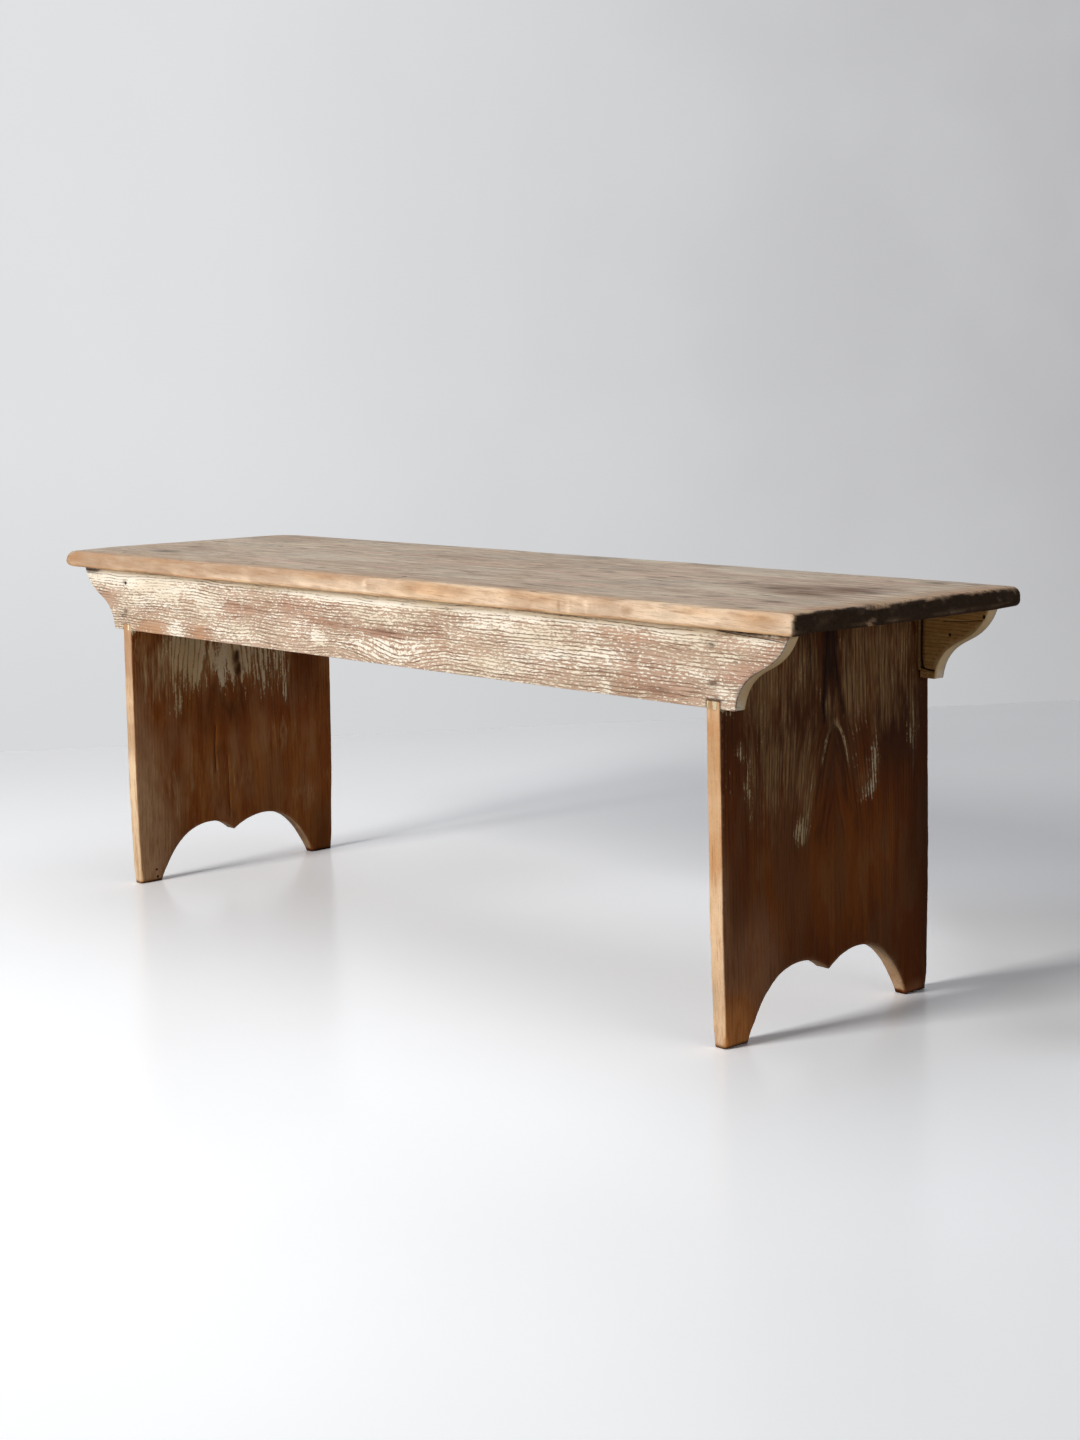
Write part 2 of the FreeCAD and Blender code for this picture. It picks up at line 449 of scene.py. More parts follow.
class Board:
    """One board: its outline, how it is placed, and the wear on each of its sides.

    An arris or a wear is given as wave's base, amount, lump sizes and seed.
    """

    near_grid = PLAIN_GRID
    far_grid = COARSE_GRID
    near_marks = ()
    far_marks = ()
    far_limit = 0.0
    far_arris = (1.2, 0.5, 45, 45, 31)
    far_wear = (0.25, 0.25, 90, 60, 51)

    def near_round(self, u, v):
        return wave(u, v, *self.near_arris)

    def far_round(self, u, v):
        return wave(u, v, *self.far_arris)

    def near_dip(self, u, v):
        return wave(u, v, *self.near_wear)

    def far_dip(self, u, v):
        return wave(u, v, *self.far_wear)

    def build(self, name, node, material, slot):
        """Makes the board's mesh and puts it in place of the node's solid."""
        line = spaced(counterclockwise(self.outline))
        line = line + inward(line) * self.bite(line[:, 0], line[:, 1])[:, None]
        into = inward(line)

        def made_side(rounding, dip, grid, marks, limit, seed):
            radius = np.maximum(rounding(line[:, 0], line[:, 1]), LEAST_ROUNDING)
            points, depth, triangles, rim, away = side_mesh(line, into, radius, grid, marks, seed)
            depth = depth + np.maximum(dip(points[:, 0], points[:, 1]), limit)
            for mark in marks:
                depth = depth + mark.dip(points)
            return points, depth, triangles, rim, away

        near = made_side(self.near_round, self.near_dip, self.near_grid, self.near_marks, 0.0, 1)
        far = made_side(self.far_round, self.far_dip, self.far_grid, self.far_marks, self.far_limit, 2)
        far_depth = self.thickness - far[1]
        start = near[1][near[3]]
        end = far_depth[far[3]]
        run = run_lengths(line)
        walls = []
        for row in range(1, WALL_ROWS + 1):
            depth = start + (end - start) * row / (WALL_ROWS + 1)
            shift = np.clip(0.12 + 0.16 * lumps(run, depth, 9.0, 5.0, 61), 0.0, None)
            walls.append(np.column_stack([line + into * shift[:, None], depth]))
        uvd = np.concatenate([np.column_stack(near[:2]), np.column_stack([far[0], far_depth]), *walls])
        near_count = len(near[0])
        far_count = len(far[0])
        count = len(line)
        wall_count = WALL_ROWS * count
        first_wall = near_count + far_count
        rows = [near[3]]
        rows += [[first_wall + row * count + i for i in range(count)] for row in range(WALL_ROWS)]
        rows += [[near_count + i for i in far[3]]]
        faces = [tuple(face) for face in near[2]]
        faces += [tuple(near_count + i for i in reversed(face)) for face in far[2]]
        for upper, lower in zip(rows, rows[1:]):
            for i in range(count):
                ahead = (i + 1) % count
                faces.append((upper[i], lower[i], lower[ahead], upper[ahead]))
        places = np.stack(self.place(*uvd.T), axis=1)
        if self.mirrored():
            faces = [tuple(reversed(face)) for face in faces]
        away = np.concatenate([near[4], far[4], np.zeros(wall_count)])
        edge = unit(1.0 - away / EDGE_WIDTH)
        side = np.repeat((1.0, -1.0, 0.0), (near_count, far_count, wall_count))
        crack = np.zeros(len(uvd))
        for marks, chosen in ((self.near_marks, side == 1), (self.far_marks, side == -1)):
            for mark in marks:
                crack[chosen] = np.maximum(crack[chosen], mark.strength(uvd[chosen, :2]))
        values = {"edge": edge, "crack": crack}
        values.update(self.looks(places, uvd, side, edge))
        stand_in(new_piece(name, places, faces, material, values), node)

    def mirrored(self):
        """True if the near side's outline runs clockwise seen from outside."""
        corners = np.array(((0, 0, 0), (1, 0, 0), (0, 1, 0), (0, 0, 1)), float)
        origin, wide, tall, deep = np.stack(self.place(*corners.T), axis=1)
        return float(np.dot(np.cross(wide - origin, tall - origin), origin - deep)) < 0


def new_piece(name, places, faces, material, values):
    """A mesh object from points in millimetres, with named values and vectors on its points."""
    mesh = bpy.data.meshes.new(name)
    mesh.from_pydata((places * MM).tolist(), [], faces)
    mesh.validate()
    for key, value in values.items():
        kind, field = ("FLOAT_VECTOR", "vector") if np.ndim(value) == 2 else ("FLOAT", "value")
        stored = mesh.attributes.new(key, kind, "POINT")
        stored.data.foreach_set(field, np.asarray(value, np.float32).ravel())
    mesh.polygons.foreach_set("use_smooth", [True] * len(mesh.polygons))
    mesh.materials.append(material)
    mesh.update()
    piece = bpy.data.objects.new(name, mesh)
    bpy.context.scene.collection.objects.link(piece)
    return piece


def stand_in(piece, node):
    """Puts a piece on the bench in place of the plain solid."""
    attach(piece, BODY)
    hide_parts(node)


# Materials


class Shade:
    """Builds one material or world. Each method adds a node and gives back its output."""

    def __init__(self, owner):
        self.owner = owner
        owner.use_nodes = True
        owner.node_tree.nodes.clear()

    def node(self, kind, inputs, output=0, **settings):
        tree = self.owner.node_tree
        made = tree.nodes.new("ShaderNode" + kind)
        for key, value in settings.items():
            setattr(made, key, value)
        for key, value in inputs.items():
            if isinstance(value, bpy.types.NodeSocket):
                tree.links.new(value, made.inputs[key])
            else:
                made.inputs[key].default_value = value
        return made.outputs[output] if made.outputs else made

    def math(self, operation, first, second=0.0):
        return self.node("Math", {0: first, 1: second}, operation=operation)

    def joined(self, operation, values):
        total = values[0]
        for value in values[1:]:
            total = self.math(operation, total, value)
        return total

    def add(self, *values):
        return self.joined("ADD", values)

    def times(self, *values):
        return self.joined("MULTIPLY", values)

    def less(self, first, second):
        return self.math("SUBTRACT", first, second)

    def value(self, name, output="Fac"):
        return self.node("Attribute", {}, output, attribute_name=name)

    def noise(self, vector, sizes, detail=3.0, roughness=0.55):
        scale = tuple(1.0 / size for size in sizes)
        stretched = self.node("VectorMath", {0: vector, 1: scale}, operation="MULTIPLY")
        inputs = {"Vector": stretched, "Scale": 1.0, "Detail": detail, "Roughness": roughness}
        return self.node("TexNoise", inputs)

    def distance(self, place, direction):
        """How far a place lies along a direction."""
        return self.node("VectorMath", {0: place, 1: direction}, "Value", operation="DOT_PRODUCT")

    def between(self, value, low, high, first=0.0, last=1.0):
        inputs = {0: value, 1: low, 2: high, 3: first, 4: last}
        return self.node("MapRange", inputs, interpolation_type="SMOOTHSTEP")

    def mix(self, share, first, second, blend="MIX"):
        return self.node("Mix", {0: share, 6: first, 7: second}, 2, data_type="RGBA", blend_type=blend)

    def finish(self, base, roughness, height, strength, shine):
        bump = self.node("Bump", {"Strength": strength, "Distance": MM, "Height": height})
        inputs = {"Base Color": base, "Roughness": roughness, "Normal": bump, "Specular IOR Level": shine}
        self.node("OutputMaterial", {0: self.node("BsdfPrincipled", inputs)})
        return self.owner


def old_board(name, look):
    """Weathered pine with flaking paint. The mesh says where the paint, dirt and wear are, and where shade
    and light are painted.
    """
    s = Shade(bpy.data.materials.new(name))
    grain = s.value("grain", "Vector")
    across, deep = (s.node("SeparateXYZ", {0: grain}, axis) for axis in "YZ")
    tone, covered, dust, strength = (s.value(key) for key in ("tone", "paint", "dust", "paint_strength"))
    rubbed_off = s.less(1.0, s.value("bare_edge"))
    calm = s.math("MAXIMUM", s.less(1.0, s.value("smooth")), 0.0)
    radius = s.math("SQRT", s.add(s.times(across, across), s.times(deep, deep)))
    wander = s.noise(grain, (210, 26, 26), 2.0)
    waver = s.noise(grain, (55, 9, 9), 2.0)
    rows = s.add(s.times(radius, 1.0 / look["row_width"]), s.times(wander, 2.2), s.times(waver, 0.9))
    off_row = s.math("ABSOLUTE", s.less(s.math("FRACT", rows), 0.5))
    late = s.between(off_row, 0.3, 0.47)
    hump = s.between(off_row, 0.5, 0.12)
    fibre = s.noise(grain, (40, 1.3, 1.3), 4.0, 0.65)
    speck = s.noise(grain, (3.4, 1.3, 1.3), 3.0, 0.7)
    gather = s.noise(grain, (60, 9, 9), 3.0, 0.6)
    streak = s.noise(grain, look["streak_size"], 4.0, 0.62)
    blotch = s.noise(grain, look["blotch_size"], 4.0, 0.6)
    drift = s.noise(grain, look["drift_size"], 3.0, 0.55)
    flakes = s.noise(grain, look["flake_size"], 3.0, 0.62)
    runs = s.noise(grain, look["run_size"], 3.0, 0.55)

    def laid(under, key, share):
        """One of the look's colours over what is there."""
        return s.mix(share, under, look[key])

    def spread(under, key, value, low, high, most):
        """One of the look's colours, laid where a value nears high."""
        return laid(under, key, s.between(value, low, high, 0.0, most))

    def off_half(value, weight):
        return s.times(s.less(value, 0.5), weight)

    wood = s.mix(s.between(s.add(streak, s.times(tone, 0.2)), 0.35, 0.65), look["dark"], look["light"])
    wood = spread(wood, "grey", drift, 0.5, 0.62, look["drift_share"])
    wood = spread(wood, "rosy", drift, 0.47, 0.35, look["drift_share"])
    wood = spread(wood, "blotch", blotch, 0.54, 0.68, look["blotch_share"])
    wood = spread(wood, "pale", blotch, 0.44, 0.32, look["blotch_share"])
    wood = laid(wood, "late", s.times(late, calm, look["late_share"]))
    wood = laid(wood, "late", s.times(s.between(fibre, 0.52, 0.68), calm, look["fibre_share"]))
    wood = spread(wood, "pale", fibre, 0.48, 0.34, look["fibre_share"])
    wood = laid(wood, "warm", s.times(s.value("warm"), s.between(blotch, 0.3, 0.55, 0.6, 1.0)))
    worn = s.mix(s.between(s.add(drift, s.times(tone, 0.25)), 0.26, 0.74), look["worn"], look["worn_pale"])
    worn = spread(worn, "worn_dull", gather, 0.5, 0.66, 0.5)
    worn = spread(worn, "worn_dark", gather, 0.48, 0.32, 0.4)
    worn = spread(worn, "worn_dark", fibre, 0.5, 0.7, 0.5)
    worn = spread(worn, "worn_dark", speck, 0.58, 0.72, 0.5)
    wood = s.mix(s.times(s.value("bare_edge"), s.between(speck, 0.25, 0.5, 0.75, 1.0)), wood, worn)
    film = s.between(s.add(covered, off_half(blotch, 1.6)), -0.1, 0.8, 0.0, look["film_share"])
    wood = laid(wood, "paint_thin", s.times(film, strength))

    held = s.add(
        covered,
        off_half(flakes, look["flake_weight"]),
        off_half(runs, look["run_weight"]),
        off_half(speck, look["speck_weight"]),
        s.times(s.less(hump, 0.62), look["row_weight"]),
    )
    paint = s.between(held, 0.5 - look["paint_edge"], 0.5 + look["paint_edge"])
    coat = s.mix(s.between(held, 0.45, 0.75), look["paint_thin"], look["paint"])
    coat = spread(coat, "paint_aged", drift, 0.45, 0.62, 0.8)
    base = s.mix(s.times(paint, strength), wood, coat)
    veil = s.between(s.add(dust, off_half(runs, 1.3), off_half(flakes, 0.9)), 0.1, 0.85)
    veil = s.times(veil, s.between(dust, 0.02, 0.2), s.between(fibre, 0.62, 0.42, 0.6, 1.0))
    base = laid(base, "dust", veil)
    base = laid(base, "groove", s.times(veil, late, look["veil_lines"]))
    groove = s.times(late, s.between(gather, 0.4, 0.62), s.less(1.0, s.value("edge")))
    groove = s.times(groove, look["groove_share"], calm)
    base = laid(base, "groove", groove)
    pit = s.between(s.noise(grain, look["pit_size"], 2.0, 0.5), 0.62, 0.7)
    pit = s.times(pit, calm, rubbed_off, s.between(blotch, 0.4, 0.56), look["pit_share"])
    base = laid(base, "groove", pit)
    # The stain tint and the dirt colour also lay painted shade where the mesh sets them.
    base = s.mix(s.value("stain"), base, look["stain"], "MULTIPLY")
    base = laid(base, "dirt", s.times(s.value("dirt"), s.between(fibre, 0.3, 0.7, 1.0, 0.94)))
    base = laid(base, "crack", s.between(s.value("crack"), 0.25, 0.75))

    reliefs = ((hump, -0.1), (fibre, 0.3), (streak, 0.35), (paint, look["paint_relief"]), (speck, 0.25),
               (groove, -0.35), (pit, -0.5))
    height = s.add(*(s.times(value, amount) for value, amount in reliefs))
    sheen = look["roughness"]
    roughness = s.between(s.add(s.times(paint, 0.5), fibre), 0.3, 1.2, sheen, sheen + 0.12)
    return s.finish(base, roughness, height, 0.8, look["shine"])


def iron():
    """Rusty cut nails."""
    s = Shade(bpy.data.materials.new("old_iron"))
    place = s.node("TexCoord", {}, "Object")
    fine = s.noise(place, (0.0012, 0.0012, 0.0012), 4.0, 0.6)
    broad = s.noise(place, (0.004, 0.004, 0.004), 2.0)
    base = s.mix(s.between(fine, 0.4, 0.65), colour(36, 25, 19), colour(74, 45, 30))
    base = s.mix(s.between(broad, 0.5, 0.7, 0.0, 0.5), base, colour(50, 38, 31))
    return s.finish(base, s.between(fine, 0.3, 0.7, 0.5, 0.8), fine, 0.4, 0.5)


def look_of(**values):
    """A look, with its colours turned into Blender's. Sizes are along, across and into the wood."""
    made = {}
    for key, value in values.items():
        is_colour = isinstance(value, tuple) and not key.endswith("_size")
        made[key] = colour(*value) if is_colour else value
    return made


def changed(look, **values):
    return {**look, **look_of(**values)}


def darkened(look, names, share):
    """A copy of a look with some of its colours made darker."""
    made = dict(look)
    for name in names:
        made[name] = tuple(share * part for part in look[name][:3]) + (1.0,)
    return made


SEAT_LOOK = look_of(
    row_width=3.6, streak_size=(95, 5.5, 5.5), blotch_size=(80, 13, 13), drift_size=(190, 42, 42),
    flake_size=(13, 2, 5), run_size=(46, 6, 14), pit_size=(46, 4, 4),
    drift_share=0.5, blotch_share=0.4, late_share=0.3, fibre_share=0.5, film_share=0.2,
    groove_share=0.38, pit_share=0.85, veil_lines=0.2,
    flake_weight=2.0, run_weight=1.5, row_weight=0.5, speck_weight=0.7,
    paint_edge=0.25, paint_relief=0.1, roughness=0.56, shine=0.15,
    light=(255, 236, 210), dark=(202, 172, 146), grey=(220, 204, 188), rosy=(242, 202, 180),
    blotch=(190, 166, 144), pale=(255, 244, 222), late=(142, 116, 98), warm=(128, 86, 58),
    stain=(238, 198, 146), worn=(188, 158, 132), worn_pale=(246, 222, 196), worn_dull=(206, 186, 164),
    worn_dark=(160, 126, 98), paint=(232, 218, 196), paint_thin=(222, 204, 180), paint_aged=(208, 194, 170),
    groove=(84, 62, 48), dirt=(42, 24, 5), dust=(214, 184, 160), crack=(26, 17, 11),
)

APRON_LOOK = look_of(
    row_width=3.9, streak_size=(120, 8, 8), blotch_size=(46, 15, 15), drift_size=(130, 30, 30),
    flake_size=(6.4, 1.6, 4), run_size=(26, 7, 14), pit_size=(15, 1.2, 1.2),
    drift_share=0.5, blotch_share=0.45, late_share=0.3, fibre_share=0.3, film_share=0.4,
    groove_share=0.7, pit_share=0.6, veil_lines=0.2,
    flake_weight=3.2, run_weight=1.2, row_weight=0.5, speck_weight=2.2,
    paint_edge=0.045, paint_relief=0.4, roughness=0.6, shine=0.25,
    light=(206, 172, 151), dark=(172, 136, 115), grey=(178, 152, 130), rosy=(196, 150, 130),
    blotch=(164, 124, 102), pale=(222, 196, 172), late=(142, 102, 82), warm=(196, 152, 116),
    stain=(222, 184, 108), worn=(190, 152, 122), worn_pale=(206, 176, 146), worn_dull=(176, 148, 122),
    worn_dark=(140, 100, 74), paint=(250, 242, 228), paint_thin=(226, 206, 184), paint_aged=(236, 222, 200),
    groove=(88, 58, 42), dirt=(58, 36, 26), dust=(206, 178, 140), crack=(50, 34, 26),
)

LEG_LOOK = look_of(
    row_width=4.6, streak_size=(260, 14, 14), blotch_size=(120, 36, 36), drift_size=(170, 60, 60),
    flake_size=(20, 2.6, 5), run_size=(70, 8, 14), pit_size=(60, 1.5, 1.5),
    drift_share=0.45, blotch_share=0.35, late_share=0.18, fibre_share=0.14, film_share=0.5,
    groove_share=0.6, pit_share=0.5, veil_lines=0.75,
    flake_weight=2.2, run_weight=1.7, row_weight=0.5, speck_weight=1.7,
    paint_edge=0.14, paint_relief=0.2, roughness=0.55, shine=0.12,
    light=(182, 103, 34), dark=(154, 80, 23), grey=(160, 110, 68), rosy=(160, 78, 34),
    blotch=(126, 68, 26), pale=(204, 142, 84), late=(96, 48, 18), warm=(110, 58, 25),
    stain=(236, 184, 128), worn=(218, 170, 124), worn_pale=(246, 210, 172), worn_dull=(208, 178, 142),
    worn_dark=(168, 112, 68), paint=(255, 240, 208), paint_thin=(170, 128, 82), paint_aged=(226, 198, 150),
    groove=(66, 36, 16), dirt=(48, 26, 12), dust=(232, 196, 148), crack=(26, 16, 10),
)

# The right leg's outer face is the darker one: its wood and paint colours are darkened copies of the leg's,
# as painted shade on a face turned away from the window
BARE_WOOD = (
    "light", "dark", "grey", "rosy", "blotch", "pale", "late", "warm", "groove", "dirt", "dust", "crack",
)
RIGHT_LEG_SHADED_LOOK = changed(LEG_LOOK, light=(184, 99, 26), dark=(155, 76, 17), dust=(230, 182, 124))
RIGHT_LEG_SHADED_LOOK = darkened(RIGHT_LEG_SHADED_LOOK, BARE_WOOD, 0.46)
RIGHT_LEG_SHADED_LOOK = darkened(RIGHT_LEG_SHADED_LOOK, ("paint", "paint_aged", "paint_thin"), 0.72)
# The left leg's worn colours are paler, partly as painted light on its rubbed low front.
LEFT_LEG_LOOK = changed(
    LEG_LOOK, veil_lines=0.4, groove_share=0.4, light=(174, 108, 52), rosy=(152, 86, 46),
    worn=(196, 162, 130), worn_pale=(246, 218, 182),
)


# The five boards. Each patch is given by its middle, its half width and half height, and what it adds.


def grain_of(along, across, deep, bend, pith_across, pith_deep, slope=0.0, along_middle=0.0):
    """Where each point lies in the tree: along it, and across and down from its middle."""
    below = deep + pith_deep + slope * (along - along_middle)
    return np.column_stack([along, across - pith_across + bend, below])


class Seat(Board):
    """The seat plank: its top is the near side."""

    far_limit = -2.0
    splits = (
        Split(1.4, 2.4, (664, -70), (646, -66), (628, -67)),
        Split(0.9, 1.2, (664, 8), (610, 5), (565, 8)),
        Split(1.0, 1.6, (664, 121), (640, 118)),
        Split(0.9, 1.4, (-664, 40), (-618, 43)),
        Split(0.8, 1.2, (-664, -96), (-630, -94)),
    )
    edge_chips = (
        (-250, -182, 16, 8, 0.8), (420, -182, 24, 8, 0.9), (667, -64, 8, 14, 2.2), (667, 96, 8, 18, 1.4),
    )
    arris_chips = (
        (390, -182, 26, 9, 2.4), (667, -62, 9, 22, 3.0), (667, -20, 9, 90, 1.8), (-60, 182, 40, 9, 2.0),
        (60, -182, 30, 9, 1.5), (620, 182, 40, 9, 2.0),
    )
    warm_stains = (
        (525, 12, 90, 84, 0.85), (575, 34, 60, 54, 0.55), (560, -30, 70, 24, 0.6),
        (440, 20, 90, 60, 0.35), (480, 95, 50, 24, 0.35), (570, -108, 50, 24, 0.3),
        (-500, -70, 90, 50, 0.3), (-120, 70, 120, 50, 0.2),
    )
    dark_marks = (
        (-510, -118, 44, 20, 0.7), (-545, -45, 44, 16, 0.5), (480, 0, 24, 14, 0.6),
        (575, 150, 28, 16, 0.6), (572, -106, 22, 13, 0.6), (592, -164, 18, 11, 0.6),
        (565, 62, 20, 14, 0.5), (490, -94, 34, 13, 0.4), (590, 20, 24, 12, 0.45), (300, 98, 34, 14, 0.35),
        (300, -60, 50, 20, 0.25), (50, -170, 12, 9, 0.6), (628, -100, 12, 10, 0.4),
        (240, -126, 60, 24, 0.2), (40, 158, 50, 14, 0.4), (-110, 58, 50, 10, 0.3),
        (664, -60, 26, 16, 0.6), (-600, 160, 40, 12, 0.35),
    )
    pale_places = (
        (-240, -40, 110, 60, 0.9), (310, 118, 130, 40, 0.9), (430, -40, 90, 50, 0.5),
        (620, -150, 60, 50, 0.6), (-560, 120, 120, 70, -0.6), (60, 60, 150, 90, -0.35),
    )
    dusty_places = (
        (420, 66, 60, 30, 0.5), (260, 112, 90, 30, 0.5), (-150, -80, 120, 50, 0.4),
        (-330, 60, 90, 40, 0.45), (600, -150, 50, 24, 0.4), (90, -60, 80, 40, 0.3),
    )
    front_pale = (
        (-300, 438, 130, 8, 0.5), (5, 444, 7, 14, 1.0), (380, 444, 5, 14, 0.8), (352, 444, 4, 12, 0.8),
        (337, 443, 2.5, 9, -2.0), (440, 444, 14, 8, -0.8),
    )
    front_yellow = (
        (-650, 447, 50, 22, 1.2), (-560, 451, 50, 9, 0.4), (-430, 451, 70, 8, 0.5),
        (-90, 450, 60, 10, 0.6), (130, 446, 110, 18, 1.0), (290, 449, 80, 12, 0.6),
        (540, 451, 50, 8, 0.6), (620, 448, 50, 14, 0.8),
    )

    def __init__(self):
        low, high = cad_box("seat_board")
        self.top = high[2]
        self.thickness = high[2] - low[2]
        self.outline = rounded_rectangle(low, high, 5.0, 4.0)
        heads = [0.5 * (a + b) for node in SEAT_NAILS for a, b in islands(node)]
        self.near_marks = self.splits + tuple(self.nail_mark(middle) for middle in heads)

    def nail_mark(self, middle):
        """Every nail is set and filled over, but one has lost its filling."""
        opened = abs(middle[0]) < 100.0 and middle[1] < 0.0
        return Hollow(middle[:2], 5.0, 0.5, 1.0 if opened else 0.2)

    def place(self, u, v, depth):
        return u, v, self.top - depth

    def bite(self, u, v):
        return np.clip(wave(u, v, 0.35, 0.45, 70, 70, 12), 0.05, None) + patched(u, v, self.edge_chips)

    def near_round(self, u, v):
        base = wave(u, v, 6.0, 1.4, 55, 55, 22) + 2.6 * ramp(u, 655, 664) * rough(u, v, 17, 17, 25)
        left = 8.0 * ramp(-u, 636, 660)
        rear = 5.0 * bell(u, v, 670, 184, 60, 60)
        return base + left + rear + patched(u, v, self.arris_chips)

    def far_round(self, u, v):
        rear = 6.0 * bell(u, v, 670, 184, 60, 60)
        return wave(u, v, 1.0, 0.5, 50, 50, 32) + 6.0 * ramp(-u, 645, 662) + rear

    def near_dip(self, u, v):
        cup = 0.9 * ramp(u, 560, 667) * bell(u, v, 667, -45, 200, 110)
        return wave(u, v, 0.3, 0.3, 160, 45, 42) + cup + 1.4 * ramp(-u, 600, 667) + self.drooped(u, v)

    def far_dip(self, u, v):
        lifted = 1.5 * ramp(u, 560, 650) * ramp(-v, 60, 160)
        worn = wave(u, v, 0.15, 0.15, 120, 60, 52)
        return (worn + lifted) * ramp(v, -166, -162) - self.drooped(u, v) * ramp(-v, 162, 166)

    def drooped(self, u, v):
        """How far the seat's front edge hangs down. The plank has cupped a little at its left end."""
        return (0.3 + 0.9 * ramp(-u, -500, 500)) * ramp(-v, 100, 180)

    def looks(self, places, uvd, side, edge):
        x, y, z = places.T
        top = side >= 0
        bend = 7.0 * rough(x, y, 420, 120, 71) + 2.0 * rough(x, y, 90, 40, 74)
        front = ramp(-y, 176.5, 181)
        near_right = 0.4 * ramp(x, 622, 660) * wave(x, y, 0.6, 0.6, 30, 40, 79)
        near_front = ramp(-y, 122, 182) * 0.7 * wave(x, y, 0.6, 0.6, 70, 40, 75)
        rear = ramp(y, 177, 181.5) * 0.6
        left_end = ramp(-x, 640, 664) * 0.8
        bare = unit(np.maximum.reduce([front, near_front, near_right]))
        bare = unit(np.maximum.reduce([bare, rear, left_end]) * (1.0 - ramp(x, 661, 666)))
        ragged = 3.5 * rough(y, z, 14, 8, 78)
        ends = np.maximum(ramp(x + ragged, 662.2, 664.6), 0.4 * ramp(-x, 663, 666.5))
        tone = patched(x, y, self.pale_places) + 0.3 * rough(x, y, 150, 60, 76)
        tone = np.where(front > 0.0, self.front_tone(x, z), tone)
        orange = 0.46 * front * self.front_orange(x, z) + self.top_orange(x, y) * (1.0 - front)
        soiled_and_shaded = np.where(x > 0, self.end_dirt_and_shade(y, z), 0.3) * ends
        return {
            "grain": grain_of(x, y, z - SEAT_HEIGHT, bend, 28.0, 62.0, 0.035, 200.0),
            "tone": tone,
            "warm": np.where(top, patched(x, y, self.warm_stains), 0.0),
            "bare_edge": np.where(top, bare, 0.0),
            "stain": np.where(top, orange, 0.7),
            "paint": np.where(top, tone * 0.35 - 0.25 - bare, NO_PAINT),
            "paint_strength": np.where(top, 0.5, 0.0),
            "dirt": unit(np.where(top, patched(x, y, self.dark_marks), 0.3) + soiled_and_shaded),
            "dust": np.where(top, patched(x, y, self.dusty_places), 0.0),
            "smooth": np.zeros(len(x)),
        }

    def end_dirt_and_shade(self, y, z):
        """The sawn right end is dark end grain and dirt, darkened to nearly black as painted shade, with a
        browner lower edge.
        """
        lighter = 0.3 * ramp(-z, -443, -437) * (0.5 + rough(y, z, 60, 12, 70))
        return 1.02 - np.clip(lighter, 0.0, 0.5) - 0.14 * rough(y, z, 16, 9, 69)

    def front_tone(self, x, z):
        """Above 0 where the front edge is pale and below 0 where it is dull."""
        layers = (0.9 * ramp(-z, -450, -438) - 0.45) * (0.15 + 0.85 * ramp(-x, -250, 300))
        paler = patched(x, z, self.front_pale) + layers + x / 700.0
        return paler - 0.6 * ramp(x, 120, 420) + 0.6 * rough(x, z, 30, 14, 77)

    def top_orange(self, x, y):
        """The top is more orange where it is rubbed, along its front arris and near the right end."""
        rubbed = 0.5 * ramp(-y, 150, 180) * wave(x, y, 0.5, 0.5, 90, 30, 67)
        return unit(np.maximum(rubbed, 0.5 * ramp(x, 615, 660)))

    def front_orange(self, x, z):
        """How orange the front edge is, most of all along its worn upper arris."""
        arris = 0.12 + 0.15 * ramp(z, 447, 453)
        return unit(patched(x, z, self.front_yellow) + arris + 0.25 * rough(x, z, 40, 8, 68))


